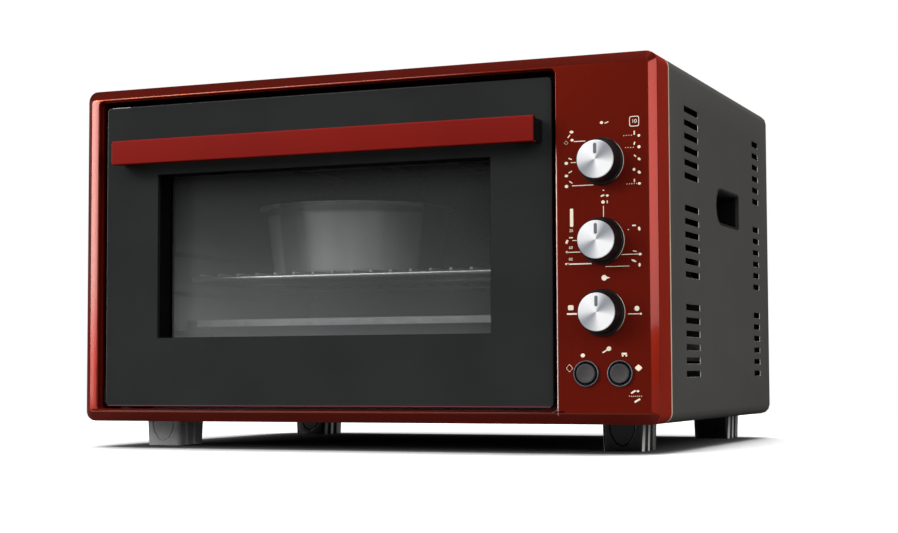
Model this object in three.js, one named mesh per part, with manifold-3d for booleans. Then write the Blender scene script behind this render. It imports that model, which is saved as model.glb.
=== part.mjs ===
// A free-standing electric table-top oven: a bevelled red front frame with a control panel beside
// a glazed drop-down door, a vented dark casing on four feet, and the oven cavity with its heating
// elements, lamp, side fan, rack, baking tray and round tin.
// Millimetres, +Z up, +X to the right seen from the front, which faces -Y.
// Sizes are given from the front face of the frame (y = 0), the body's middle (x = 0) and the
// worktop (z = 0). The last lines centre the whole oven over the origin.

import * as THREE from 'three';
import { mergeVertices } from 'three/addons/utils/BufferGeometryUtils.js';
import Module from 'manifold-3d';

const wasm = await Module();
wasm.setup();

// Clearances
const seat = 0.3;          // gap between two pieces that touch
const overrun = 1;         // how far a cutting shape runs past what it cuts
const weld = 1e-4;         // vertices closer than this are one

// Body
const bodyWidth = 566;
const bodyHeight = 315;
const bodyDepth = 420;
const edgeRadius = 9.5;    // rounding along the casing's four long edges
const casingSheet = 1;
const casingLip = 18;      // casing sheet turned in under the body
const baseSheet = 1;

// Feet
const footHeight = 25;
const footWidth = 38;
const footLength = 46;
const footTaper = 0.9;     // how much narrower each side is at the worktop
const footCorner = 4;
const footFrontY = 60;     // front of the front feet
const footRearGap = 6;     // behind the rear feet
const footSideInset = 31.5; // outer side of the feet from the body's side
const footBossRadius = 5;
const footBossRise = 3;
const footFluteRadius = 3;
const footFluteShares = [0.27, 0.58]; // flutes along the foot's length, from its front
const footCrestWidth = 25; // the curved line on the foot's front
const footCrestDrop = 22;
const footCrestLine = 0.9;
const footCrestDepth = 0.7;

// Front frame and control panel
const frameDepth = 42;
const frameWall = 2.5;
const bevelSide = 6.5;     // bevel seen from the front, at the sides
const bevelRise = 9;       // and at the top and the bottom
const bevelDepth = 5;
const bevelCorner = 3;     // corner radius of the flat front face
const railSide = 8.5;      // flat front rail left of the door
const railTop = 1.5;
const railLow = 1.5;
const panelWidth = 82.7;
const recessDepth = 38;    // how deep the door's recess is
const recessWall = 2;
const recessCorner = 5;

// Door
const doorSideGap = 5.4;
const doorTopGap = 6;
const doorLowGap = 3.5;
const doorSetBack = 6;     // glass behind the frame's front face
const doorCorner = 4;
const outerGlass = 4;
const innerGlass = 3;
const windowSide = 57;     // glass border beside, below and above the window
const windowLow = 64;
const windowTop = 66.5;
const windowCorner = 2;
const doorFrameInset = 2.4;
const doorFrameLowInset = 5.5; // so the lower back edge clears the seal as the door drops
const doorFrameDepth = 20.7;
const doorFrameWall = 2;
const doorFrameFace = 1.5;
const tunnelWall = 1.5;
const glassLap = 9;        // inner glass beyond the window, each side
const innerPanelSheet = 1.2;
const hingeBack = 8;       // hinge axis behind the glass face
const hingeRise = 10;      // and above the door's lower edge
const hingePinRadius = 2;
const hingePinReach = 12;  // pin inside the door
const hingePlate = 1.8;
const hingePlateHalf = 7;  // half the bracket's height
const hingePlateFront = 5; // bracket in front of the hinge axis
const hingeFoot = 15;      // length of the bracket's foot along the front flange
const hingeFootSheet = 1.2;

// Handle
const handleLeftInset = 19.15; // handle's ends from the door's sides
const handleRightInset = 8.35;
const handleDrop = 46.8;   // middle of the handle below the door's top
const handleHeight = 22.5;
const handleReach = 24;    // front of the handle in front of the glass
const handleTrimWall = 1.2;
const handleTrimLip = 8;   // depth of the trim's top and bottom lips
const handleBarDepth = 6;
const handlePostWidth = 22;
const handlePostRound = 3;

// Cavity
const cavitySideInset = 33.5; // inside faces from the door's edges
const cavityLowInset = 23;
const cavityTopInset = 25.5;
const cavityRearGap = 59.7; // rear wall to the casing's rear edge
const cavitySheet = 1;
const cavityFlange = 1;
const cavityCorner = 8;
const gasketWidth = 8;
const gasketDepth = 4.7;
const gasketInset = 2;     // from the cavity's mouth
const runnerReach = 9;     // how far the pressed runners stand into the cavity
const runnerHeight = 9;
const runnerSlope = 4;
const runnerCount = 4;
const runnerFirstShare = 0.08347; // top of the lowest runner, and the pitch, in the cavity's height
const runnerPitchShare = 0.16314;
const runnerFront = 22;    // runner's ends from the flange and the rear wall
const runnerBack = 8;

// Heat shield round the cavity
const shieldSheet = 0.8;
const shieldLeftGap = 16;
const shieldRightGap = 28.5;
const shieldTopGap = 10;
const shieldFrontGap = 14;
const shieldBackGap = 6;
const shieldLip = 12;

// Heating elements
const elementRadius = 3.5;
const elementBend = 20;
const elementFrontGap = 40;
const elementRearGap = 40;
const elementTail = 20;    // behind the cavity's rear wall
const elementTopDrop = 14; // below the ceiling
const elementLowRise = 11; // above the floor
const elementSideGap = 42; // outer legs from the cavity's walls

// Lamp in the right-hand wall
const lampRearGap = 55.3;  // from the cavity's rear wall
const lampTopGap = 40;     // below the ceiling
const lampHoleRadius = 19;
const lampFlange = 6;
const lampFlangeThick = 2;
const lampDomeReach = 11;
const lampGlassWall = 1.6;
const lampCupDepth = 24;
const lampCupWall = 2;
const lampBulbRadius = 8;
const lampBulbLength = 24;
const lampCapRadius = 6;

// Fan in the right-hand wall
const fanRearGap = 150.3;  // axis in front of the cavity's rear wall
const fanRiseShare = 0.49153; // and above the floor, in the cavity's height
const fanHousingRadius = 66;
const fanHousingWall = 1.2;
const fanRadius = 56;
const fanVaneDepth = 12;
const fanVaneThick = 1.2;
const fanVaneCount = 9;
const fanVaneRootShare = 0.45;
const fanDisc = 1.2;
const fanHubRadius = 8;
const fanShaftRadius = 2.5;
const fanMouthGap = 5;     // vanes behind the cavity wall
const fanSlotWidth = 4;
const fanSlotPitch = 10;
const fanSlotCount = 8;
const fanSlotMargin = 5;   // slot ends from the runners
const motorStack = 54;
const motorStackDepth = 18;
const motorCanRadius = 17;
const motorCanDepth = 12;

// Controls
const knobRiseShares = { thermostat: 0.7054, timer: 0.49143, selector: 0.29905 };
const knobSkirtRadius = 20;
const knobSkirt = 2.2;
const knobBaseRadius = 17.8;
const knobTopRadius = 16.9;
const knobHeight = 17;
const knobGap = 0.6;       // behind the skirt
const knobChamfer = 0.8;
const capRadius = 16.1;
const capThick = 1.7;
const capSink = 1;         // how deep the cap sits in the knob
const capChamfer = 0.4;
const pointerWidth = 1.8;
const pointerLength = 5.5;
const pointerInset = 2.6;
const pointerDepth = 0.6;
const shaftRadius = 3;
const shaftFlat = 1.2;
const shaftInKnob = 11;
const shaftInSwitch = 11;
const shaftHoleRadius = 4.5;
const bracketY = 20;       // control bracket behind the panel
const bracketSheet = 1.2;
const bracketHalf = 36;
const bracketLowRise = 20; // above the body's underside
const bracketTopDrop = 56;
const bushRadius = 4.8;
const bushReach = 7;
const thermostatSize = 34;
const thermostatDepth = 24;
const timerRadius = 22;
const timerDepth = 26;
const timerBellRadius = 14;
const timerBellDepth = 8;
const selectorWidth = 40;
const selectorHeight = 30;
const selectorDepth = 22;
const bladeWidth = 6;
const bladeThick = 1;
const bladeLength = 8;
const bladePitch = 12;
const buttonRiseShare = 0.13651;
const buttonSpacing = 29.8;
const buttonRadius = 8.2;
const buttonProud = 3.4;
const buttonLength = 9;
const buttonDish = 0.8;
const buttonTravel = 3.5;
const buttonStemRadius = 2.5;
const bezelRadius = 11;
const bezelProud = 2.4;
const bezelInnerRadius = 8.8;
const bezelBarrelRadius = 9.7;
const bezelBarrel = 7;
const bezelRound = 0.8;
const pushSwitchSize = 20;
const pushSwitchDepth = 22;
const pushSwitchBore = 12;
const capillaryRadius = 1.2;
const bulbRadius = 2.6;
const bulbLength = 80;
const bulbFrontGap = 72.7; // from the cavity's mouth
const bulbWallGap = 8;
const bulbDrop = 26;       // below the ceiling
const capillaryBend = 14;

// Side vents and grips
const ventHeight = 5.5;
const ventPitch = 11.8;
const ventRows = 6;
const ventGroups = 3;
const ventGroupShare = 0.27905; // pitch of the groups in the body's height
const ventTopDrop = 38;    // highest slot below the top
const ventFrontY = 90;
const ventFrontLength = 48;
const ventRearGap = 41;    // rear slots' ends in front of the casing's rear edge
const ventRearLength = 27;
const gripLength = 92;
const gripDepthShare = 0.5881; // middle of the grip in the body's depth
const gripTopDrop = 114.4; // and below its top
const gripHeight = 35;
const gripPocketFront = 18; // pocket's end behind the grip's end
const gripPocketHeight = 23;
const gripSlopeDepth = 11;
const gripDepth = 30;
const gripWall = 1.5;
const gripLap = 5;

// Rear panel, base vents and mains inlet
const rearSheet = 1;
const rearFlange = 12;
const rearInset = 1;       // rear face in front of the casing's rear edge
const rearVentLength = 60;
const rearVentRows = 6;
const rearVentColumns = 2;
const rearVentTopDrop = 60;
const rearVentSideInset = 78; // middle of the outer column
const rearVentColumnPitch = 75;
const baseVentLength = 60;
const baseVentRows = 6;
const baseVentPitch = 14;
const baseVentWidth = 5;
const baseVentFront = 100; // first slot behind the front
const inletSideInset = 65;
const inletRise = 33;      // above the body's underside
const inletRadius = 8;
const inletBore = 4;
const inletProud = 7;
const inletFlange = 11;
const inletFlangeThick = 2.5;
const terminalWidth = 42;
const terminalHeight = 18;
const terminalDepth = 14;
const terminalRise = 22;   // above the inlet
const terminalWell = 8;
const terminalWellDepth = 6;
const terminalWays = 3;

// Wire rack
const rackWire = 2.5;      // radius of the rim
const rackRod = 1.5;       // radius of the bars
const rackSideGap = 6;     // to the cavity's walls
const rackFrontGap = 33.2; // behind the cavity's mouth
const rackRearGap = 12;
const rackCorner = 28;
const rackBars = 17;
const rackSink = 0.8;      // how far the bars are welded into the rim
const rackLevel = 2;       // runner it lies on, counted from 0

// Baking tray
const trayLevel = 1;
const traySideGap = 4.5;
const trayFrontGap = 32.7;
const trayRearGap = 12;
const trayRim = 15;
const trayDepth = 22;
const traySheet = 1;
const trayTaper = 5;
const trayCorner = 24;

// Round tin on the rack
const tinPlaceShares = { x: 0.2087, y: 0.3557 }; // where it stands in the room it has on the rack
const tinRimRadius = 100;
const tinTopRadius = 92;
const tinBaseRadius = 84;
const tinBaseRound = 5;
const tinHeight = 69.5;
const tinSheet = 1.2;

// Facets
const cornerSteps = 3;
const roundSides = 24;
const midSides = 16;
const smallSides = 10;
const wireSides = 6;
const barSides = 5;

// Places worked out from the sizes
const halfWidth = bodyWidth / 2;
const bodyLow = footHeight;
const bodyTop = footHeight + bodyHeight;
const flatLeft = -halfWidth + bevelSide;
const flatRight = halfWidth - bevelSide;
const flatLow = bodyLow + bevelRise;
const flatHigh = bodyTop - bevelRise;
const recess = {
  left: flatLeft + railSide, right: flatRight - panelWidth,
  low: flatLow + railLow, high: flatHigh - railTop,
};
const door = {
  left: recess.left + doorSideGap, right: recess.right - doorSideGap,
  low: recess.low + doorLowGap, high: recess.high - doorTopGap,
};
const doorMiddle = (door.left + door.right) / 2;
const windowArea = {
  left: door.left + windowSide, right: door.right - windowSide,
  low: door.low + windowLow, high: door.high - windowTop,
};
const glassBack = doorSetBack + outerGlass;
const doorFrameFront = glassBack + seat;
const doorFrameBack = doorFrameFront + doorFrameDepth;
const innerPanelBack = doorFrameBack + seat + innerPanelSheet;
const innerGlassBack = doorFrameBack;
const innerGlassFront = innerGlassBack - innerGlass;
const tunnelEnd = innerGlassFront - seat;
const hingeY = doorSetBack + hingeBack;
const hingeZ = door.low + hingeRise;
const flangeFront = recessDepth + seat;
const cavityMouth = flangeFront + cavityFlange;
const cavityRear = bodyDepth - cavityRearGap;
const cavityLeft = door.left + cavitySideInset;
const cavityRight = door.right - cavitySideInset;
const cavityLow = door.low + cavityLowInset;
const cavityHigh = door.high - cavityTopInset;
const cavityWidth = cavityRight - cavityLeft;
const cavityHeight = cavityHigh - cavityLow;
const panelMiddle = recess.right + panelWidth / 2;
const inBody = (share) => bodyLow + share * bodyHeight;
const knobZ = {
  thermostat: inBody(knobRiseShares.thermostat),
  timer: inBody(knobRiseShares.timer),
  selector: inBody(knobRiseShares.selector),
};
const buttonZ = inBody(buttonRiseShare);
const casingFront = frameDepth + seat;
const innerLow = bodyLow + casingSheet + seat;
const innerHalf = halfWidth - casingSheet - seat;
const baseTop = innerLow + baseSheet;
const rearFace = bodyDepth - rearInset;
const shieldLeft = cavityLeft - cavitySheet - shieldLeftGap;
const shieldRight = cavityRight + cavitySheet + shieldRightGap;
const shieldTop = cavityHigh + cavitySheet + shieldTopGap;
const wallOutside = cavityRight + cavitySheet + seat;
const runnerTop = (level) => cavityLow + (runnerFirstShare + level * runnerPitchShare) * cavityHeight;
const lampY = cavityRear - lampRearGap;
const lampZ = cavityHigh - lampTopGap;
const fanY = cavityRear - fanRearGap;
const fanZ = cavityLow + fanRiseShare * cavityHeight;

// Materials
const finish = (color, roughness, metalness) =>
  new THREE.MeshStandardMaterial({ color, roughness, metalness });
const redPaint = finish(0x7a1410, 0.3, 0.5);
const redTrim = finish(0x83201a, 0.35, 0.4);
const greyPaint = finish(0x3e3e3e, 0.7, 0.1);
const blackPlastic = finish(0x141414, 0.35, 0);
const darkGlass = finish(0x262626, 0.08, 0);
const clearGlass = finish(0x8b9698, 0.05, 0);
const enamel = finish(0x4a4d4e, 0.4, 0.2);
const galvanised = finish(0x9a9d9f, 0.4, 0.9);
const steel = finish(0xb8babb, 0.25, 1);
const spunAluminium = finish(0xd4d6d8, 0.22, 1);
const elementSteel = finish(0x55524e, 0.5, 0.8);
const brass = finish(0xb08d4c, 0.35, 1);
const sealGrey = finish(0x5b5654, 0.9, 0);

// Solids from geometries, and the cutting and joining that the pieces need

function toSolid(geometry) {
  geometry.deleteAttribute('normal');
  geometry.deleteAttribute('uv');
  const merged = mergeVertices(geometry, weld);
  const corners = merged.index.array;
  const build = (order) => {
    const triangles = [];
    for (let i = 0; i < corners.length; i += order.length) {
      const [a, b, c] = order.map((k) => corners[i + k]);
      if (a !== b && b !== c && c !== a) triangles.push(a, b, c);
    }
    return new wasm.Manifold(new wasm.Mesh({
      numProp: 3,
      vertProperties: new Float32Array(merged.attributes.position.array),
      triVerts: new Uint32Array(triangles),
    }));
  };
  const solid = build([0, 1, 2]);
  return solid.volume() < 0 ? build([0, 2, 1]) : solid;
}

const join = (...solids) => solids.reduce((all, next) => all.add(next));
const cut = (solid, ...tools) => tools.reduce((all, next) => all.subtract(next), solid);

function block([x0, x1], [y0, y1], [z0, z1]) {
  const geometry = new THREE.BoxGeometry(x1 - x0, y1 - y0, z1 - z0);
  geometry.translate((x0 + x1) / 2, (y0 + y1) / 2, (z0 + z1) / 2);
  return toSolid(geometry);
}

// A closed outline of a rectangle with round corners, counter-clockwise.
function roundedOutline({ left, right, low, high }, radius, steps = cornerSteps) {
  const centres = [
    [right - radius, high - radius], [left + radius, high - radius],
    [left + radius, low + radius], [right - radius, low + radius],
  ];
  return centres.flatMap(([x, y], corner) =>
    Array.from({ length: steps + 1 }, (_, i) => {
      const angle = (corner + i / steps) * Math.PI / 2;
      return new THREE.Vector2(x + radius * Math.cos(angle), y + radius * Math.sin(angle));
    }));
}

const grown = (area, dx, dz = dx) => ({
  left: area.left - dx, right: area.right + dx, low: area.low - dz, high: area.high + dz,
});
const around = (x, z, halfX, halfZ = halfX) => ({
  left: x - halfX, right: x + halfX, low: z - halfZ, high: z + halfZ,
});

// An outline in the XZ plane given depth along Y, in the YZ plane along X, or in the XY plane along Z.
const planes = {
  y: new THREE.Matrix4().makeBasis(
    new THREE.Vector3(1, 0, 0), new THREE.Vector3(0, 0, 1), new THREE.Vector3(0, -1, 0)),
  x: new THREE.Matrix4().makeBasis(
    new THREE.Vector3(0, 1, 0), new THREE.Vector3(0, 0, 1), new THREE.Vector3(1, 0, 0)),
  z: new THREE.Matrix4(),
};
function prism(outline, axis, [from, to]) {
  const geometry = new THREE.ExtrudeGeometry(new THREE.Shape(outline),
    { depth: to - from, bevelEnabled: false });
  geometry.applyMatrix4(planes[axis]);
  if (axis === 'y') geometry.translate(0, to, 0);
  if (axis === 'x') geometry.translate(from, 0, 0);
  if (axis === 'z') geometry.translate(0, 0, from);
  return toSolid(geometry);
}

// A skin through rings of points with flat ends. Every ring is convex and has as many points.
function loft(rings) {
  const count = rings[0].length;
  const index = [];
  for (let ring = 0; ring + 1 < rings.length; ring += 1) {
    for (let i = 0; i < count; i += 1) {
      const a = ring * count + i;
      const b = ring * count + (i + 1) % count;
      index.push(a, b, a + count, b, b + count, a + count);
    }
  }
  const last = (rings.length - 1) * count;
  for (let i = 1; i + 1 < count; i += 1) {
    index.push(0, i + 1, i, last, last + i, last + i + 1);
  }
  const geometry = new THREE.BufferGeometry().setFromPoints(rings.flat());
  geometry.setIndex(index);
  return toSolid(geometry);
}
const ringAtY = (outline, y) => outline.map((p) => new THREE.Vector3(p.x, y, p.y));
const ringAtX = (outline, x) => outline.map((p) => new THREE.Vector3(x, p.x, p.y));
const ringAtZ = (outline, z) => outline.map((p) => new THREE.Vector3(p.x, p.y, z));

// A turned solid. The profile is (radius, place along the axis), from axis to axis or a loop.
const turns = {
  y: new THREE.Matrix4(),
  x: new THREE.Matrix4().makeBasis(
    new THREE.Vector3(0, 1, 0), new THREE.Vector3(1, 0, 0), new THREE.Vector3(0, 0, -1)),
  z: new THREE.Matrix4().makeBasis(
    new THREE.Vector3(1, 0, 0), new THREE.Vector3(0, 0, 1), new THREE.Vector3(0, -1, 0)),
};
function turned(profile, axis, sides = roundSides) {
  const points = profile.map(([r, along]) => new THREE.Vector2(r, along));
  if (points[0].x > 0) points.push(points[0]);
  const geometry = new THREE.LatheGeometry(points, sides);
  geometry.applyMatrix4(turns[axis]);
  return toSolid(geometry);
}
const rod = (axis, radius, [from, to], sides = smallSides) =>
  turned([[0, from], [radius, from], [radius, to], [0, to]], axis, sides);

// A wire bent along corner points, with a ring of its own at each point of the bends.
class WirePath extends THREE.Curve {
  constructor(points) {
    super();
    this.points = points;
  }

  place(u) {
    return Math.round(u * (this.points.length - 1));
  }

  getPoint(u) {
    return this.points[this.place(u)].clone();
  }

  getPointAt(u) {
    return this.getPoint(u);
  }

  getTangentAt(u) {
    const i = this.place(u);
    const before = this.points[Math.max(i - 1, 0)];
    const after = this.points[Math.min(i + 1, this.points.length - 1)];
    return after.clone().sub(before).normalize();
  }
}

function bentWire(points, radius, sides, bend) {
  const path = [points[0]];
  for (let i = 1; i + 1 < points.length; i += 1) {
    const before = points[i - 1].clone().sub(points[i]).normalize();
    const after = points[i + 1].clone().sub(points[i]).normalize();
    const start = points[i].clone().addScaledVector(before, bend);
    const end = points[i].clone().addScaledVector(after, bend);
    const centre = start.clone().add(end).sub(points[i]);
    for (let step = 0; step <= cornerSteps; step += 1) {
      const angle = step / cornerSteps * Math.PI / 2;
      path.push(centre.clone()
        .addScaledVector(after, -bend * Math.cos(angle))
        .addScaledVector(before, -bend * Math.sin(angle)));
    }
  }
  path.push(points[points.length - 1]);
  const section = Array.from({ length: sides }, (_, i) => {
    const angle = i / sides * 2 * Math.PI;
    return new THREE.Vector2(radius * Math.cos(angle), radius * Math.sin(angle));
  });
  return toSolid(new THREE.ExtrudeGeometry(new THREE.Shape(section), {
    steps: path.length - 1, bevelEnabled: false, extrudePath: new WirePath(path),
  }));
}

function moved(solid, x, y, z) {
  const geometry = geometryOf(solid);
  geometry.translate(x, y, z);
  return toSolid(geometry);
}

function geometryOf(solid) {
  const mesh = solid.getMesh();
  const geometry = new THREE.BufferGeometry();
  geometry.setAttribute('position', new THREE.BufferAttribute(mesh.vertProperties, 3));
  geometry.setIndex(new THREE.BufferAttribute(mesh.triVerts, 1));
  return geometry;
}

function piece(name, solid, material, parent) {
  const geometry = geometryOf(solid);
  geometry.computeVertexNormals();
  const mesh = new THREE.Mesh(geometry, material);
  mesh.name = name;
  parent.add(mesh);
  return mesh;
}

const oven = new THREE.Group();

// Outer body: the frame, the casing, the base and the rear panel

const bodyArea = { left: -halfWidth, right: halfWidth, low: bodyLow, high: bodyTop };
const insetBody = (by) => roundedOutline(grown(bodyArea, -by), edgeRadius - by);

function frontFrame() {
  const face = roundedOutline(grown(bodyArea, -bevelSide, -bevelRise), bevelCorner);
  const outside = loft([
    ringAtY(face, 0),
    ringAtY(roundedOutline(bodyArea, edgeRadius), bevelDepth),
    ringAtY(roundedOutline(bodyArea, edgeRadius), frameDepth),
  ]);
  const innerFace = roundedOutline(
    grown(bodyArea, -bevelSide - frameWall, -bevelRise - frameWall), bevelCorner);
  const innerSide = insetBody(frameWall);
  const hollow = loft([
    ringAtY(innerFace, frameWall),
    ringAtY(innerSide, bevelDepth + frameWall),
    ringAtY(innerSide, frameDepth + overrun),
  ]);
  const recessShell = prism(
    roundedOutline(grown(recess, recessWall), recessCorner + recessWall), 'y', [0, recessDepth]);
  const opening = prism(
    roundedOutline(recess, recessCorner), 'y', [-overrun, frameDepth + overrun]);
  const through = [-overrun, frameWall + overrun];
  const knobHoles = Object.values(knobZ).map((z) =>
    moved(rod('y', shaftHoleRadius, through), panelMiddle, 0, z));
  const buttonHoles = [-1, 1].map((side) =>
    moved(rod('y', bezelBarrelRadius + seat, through, midSides),
      panelMiddle + side * buttonSpacing / 2, 0, buttonZ));
  return cut(outside, cut(hollow, recessShell), opening, ...knobHoles, ...buttonHoles);
}

function ventSlots(side) {
  const x = side * halfWidth;
  const reach = [x - casingSheet - overrun, x + casingSheet + overrun];
  const ventRearEnd = bodyDepth - ventRearGap;
  const columns = [
    [ventFrontY, ventFrontY + ventFrontLength], [ventRearEnd - ventRearLength, ventRearEnd],
  ];
  const slots = [];
  for (let group = 0; group < ventGroups; group += 1) {
    for (let row = 0; row < ventRows; row += 1) {
      const z = bodyTop - ventTopDrop - group * ventGroupShare * bodyHeight - row * ventPitch;
      columns.forEach((column) => {
        slots.push(block(reach, column, [z - ventHeight / 2, z + ventHeight / 2]));
      });
    }
  }
  return slots;
}

// The grip's outline: straight behind, round in front.
function gripOutline(frontY, rearY, height) {
  const half = height / 2;
  const outline = [
    new THREE.Vector2(rearY, -half),
    new THREE.Vector2(rearY, half),
  ];
  const arcSteps = 2 * cornerSteps;
  for (let i = 0; i <= arcSteps; i += 1) {
    const angle = Math.PI / 2 + i / arcSteps * Math.PI;
    outline.push(new THREE.Vector2(
      frontY + half + half * Math.cos(angle), half * Math.sin(angle)));
  }
  return outline;
}
const gripMiddleY = gripDepthShare * bodyDepth;
const gripMiddleZ = bodyTop - gripTopDrop;
const gripMouth = gripOutline(-gripLength / 2, gripLength / 2, gripHeight);

function casing() {
  const span = [casingFront, bodyDepth];
  const shell = cut(
    prism(insetBody(0), 'y', span),
    prism(insetBody(casingSheet), 'y', [casingFront - overrun, bodyDepth + overrun]));
  const lipEdge = halfWidth - edgeRadius - casingLip;
  const underside = block([-lipEdge, lipEdge], [casingFront - overrun, bodyDepth + overrun],
    [bodyLow - overrun, bodyLow + casingSheet + overrun]);
  const gripHoles = [-1, 1].map((side) => moved(
    prism(gripMouth, 'x', [-casingSheet - overrun, casingSheet + overrun]),
    side * halfWidth, gripMiddleY, gripMiddleZ));
  return cut(shell, underside, ...gripHoles, ...ventSlots(-1), ...ventSlots(1));
}

const footRearY = bodyDepth - footRearGap - footLength;
const footPlaces = {
  foot_front_left: [-1, footFrontY], foot_front_right: [1, footFrontY],
  foot_rear_left: [-1, footRearY], foot_rear_right: [1, footRearY],
};
const footPlace = ([side, y]) =>
  [side * (halfWidth - footSideInset - footWidth / 2), y + footLength / 2];

function basePlate() {
  const half = halfWidth - edgeRadius;
  const rear = rearFace - rearFlange - seat;
  const plate = block([-half, half], [casingFront, rear], [innerLow, baseTop]);
  const cutSpan = [innerLow - overrun, baseTop + overrun];
  const bossHoles = Object.values(footPlaces).map((place) => {
    const [x, y] = footPlace(place);
    return moved(rod('z', footBossRadius + seat, cutSpan), x, y, 0);
  });
  const vents = [];
  for (let row = 0; row < baseVentRows; row += 1) {
    const y = casingFront + baseVentFront + row * baseVentPitch;
    [-1, 1].forEach((side) => {
      const x = side * half / 2;
      vents.push(block([x - baseVentLength / 2, x + baseVentLength / 2],
        [y, y + baseVentWidth], cutSpan));
    });
  }
  return cut(plate, ...bossHoles, ...vents);
}

const inletX = halfWidth - inletSideInset;
const inletZ = bodyLow + inletRise;

function rearPanel() {
  const front = rearFace - rearFlange;
  const shell = cut(
    prism(insetBody(casingSheet + seat), 'y', [front, rearFace]),
    prism(insetBody(casingSheet + seat + rearSheet), 'y', [front - overrun, rearFace - rearSheet]));
  const through = [rearFace - rearSheet - overrun, rearFace + overrun];
  const vents = [];
  for (let row = 0; row < rearVentRows; row += 1) {
    const z = bodyTop - rearVentTopDrop - row * ventPitch;
    for (let column = 0; column < rearVentColumns; column += 1) {
      [-1, 1].forEach((side) => {
        const x = side * (halfWidth - rearVentSideInset - column * rearVentColumnPitch);
        vents.push(block([x - rearVentLength / 2, x + rearVentLength / 2], through,
          [z - ventHeight / 2, z + ventHeight / 2]));
      });
    }
  }
  const inlet = moved(rod('y', inletRadius + seat, through), inletX, 0, inletZ);
  return cut(shell, inlet, ...vents);
}

// A foot stands with its base's middle at the origin.
function foot() {
  const top = bodyLow + casingSheet;
  const halfX = footWidth / 2;
  const halfY = footLength / 2;
  const body = loft([
    ringAtZ(roundedOutline(around(0, 0, halfX - footTaper, halfY - footTaper), footCorner), 0),
    ringAtZ(roundedOutline(around(0, 0, halfX, halfY), footCorner), top),
  ]);
  const boss = rod('z', footBossRadius, [top - overrun, top + footBossRise]);
  const flutes = [-1, 1].flatMap((side) => footFluteShares.map((share) => moved(
    rod('z', footFluteRadius, [-overrun, top + overrun], smallSides),
    side * halfX, (share - 1 / 2) * footLength, 0)));
  const crest = (inset) => {
    const half = footCrestWidth / 2 - inset;
    const drop = footCrestDrop - inset;
    const outline = [];
    const arcSteps = 2 * cornerSteps;
    for (let i = 0; i <= arcSteps; i += 1) {
      const angle = i / arcSteps * Math.PI;
      outline.push(new THREE.Vector2(-half * Math.cos(angle), top - drop * Math.sin(angle)));
    }
    return prism(outline, 'y', [-halfY - overrun, -halfY + footTaper + footCrestDepth]);
  };
  return cut(join(body, boss), ...flutes, cut(crest(0), crest(footCrestLine)));
}

// Middle of the mouth at the origin, opening towards +X.
function gripCup() {
  const pocketFront = -gripLength / 2 + gripPocketFront;
  const rear = gripLength / 2;
  const mouth = (by) => gripOutline(-gripLength / 2 + by, rear - by, gripHeight - 2 * by);
  const pocket = (by) => gripOutline(pocketFront + by, rear - gripWall - seat + by * -1,
    gripPocketHeight - 2 * by);
  const outside = loft([
    ringAtX(mouth(seat), 0),
    ringAtX(mouth(seat), -casingSheet),
    ringAtX(pocket(-gripWall), -gripSlopeDepth - gripWall),
    ringAtX(pocket(-gripWall), -gripDepth - gripWall),
  ]);
  const flangeFace = -casingSheet - seat;
  const flange = prism(mouth(-gripLap), 'x', [flangeFace - gripWall, flangeFace]);
  const inside = loft([
    ringAtX(mouth(seat + gripWall), overrun),
    ringAtX(mouth(seat + gripWall), 0),
    ringAtX(pocket(0), -gripSlopeDepth),
    ringAtX(pocket(0), -gripDepth),
  ]);
  return cut(join(outside, flange), inside);
}

piece('front_frame', frontFrame(), redPaint, oven);
piece('casing', casing(), greyPaint, oven);
piece('base_plate', basePlate(), galvanised, oven);
piece('rear_panel', rearPanel(), greyPaint, oven);
const footSolid = foot();
Object.entries(footPlaces).forEach(([name, place]) => {
  const mesh = piece(name, footSolid, blackPlastic, oven);
  const [x, y] = footPlace(place);
  mesh.position.set(x, y, 0);
});
const gripSolid = gripCup();
[['grip_cup_left', -1], ['grip_cup_right', 1]].forEach(([name, side]) => {
  const mesh = piece(name, gripSolid, blackPlastic, oven);
  mesh.position.set(side * halfWidth, gripMiddleY, gripMiddleZ);
  mesh.rotation.y = side < 0 ? Math.PI : 0;
});

// Cavity, its seal, the heat shield and what is built into the walls

const cavityArea = { left: cavityLeft, right: cavityRight, low: cavityLow, high: cavityHigh };

// A runner is pressed inwards out of the side wall, so its groove shows outside.
function runner(level, side, inset) {
  const top = runnerTop(level) - inset;
  const low = runnerTop(level) - runnerHeight + inset;
  const wall = side < 0 ? cavityLeft : cavityRight;
  const root = wall + side * (cavitySheet + (inset ? overrun : 0));
  const tip = wall - side * (runnerReach - inset);
  const outline = [
    new THREE.Vector2(root, low - runnerSlope), new THREE.Vector2(root, top),
    new THREE.Vector2(tip, top), new THREE.Vector2(tip, low),
  ];
  return prism(outline, 'y', [cavityMouth + runnerFront + inset, cavityRear - runnerBack - inset]);
}

function fanSlots() {
  const slots = [];
  const reach = [cavityRight - overrun, cavityRight + cavitySheet + overrun];
  for (let level = 1; level < runnerCount; level += 1) {
    const low = runnerTop(level) + fanSlotMargin;
    const high = runnerTop(level + 1) - runnerHeight - runnerSlope - fanSlotMargin;
    for (let i = 0; i < fanSlotCount; i += 1) {
      const y = fanY + (i - (fanSlotCount - 1) / 2) * fanSlotPitch;
      slots.push(block(reach, [y - fanSlotWidth / 2, y + fanSlotWidth / 2], [low, high]));
    }
  }
  return slots;
}

const elementTopZ = cavityHigh - elementTopDrop;
const elementLowZ = cavityLow + elementLowRise;
const elementSideX = cavityWidth / 2 - elementSideGap;
const bulbX = cavityRight - bulbWallGap;
const bulbZ = cavityHigh - bulbDrop;
const bulbFrontY = cavityMouth + bulbFrontGap;
const capillaryY = bulbFrontY + bulbLength + capillaryBend;

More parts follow.
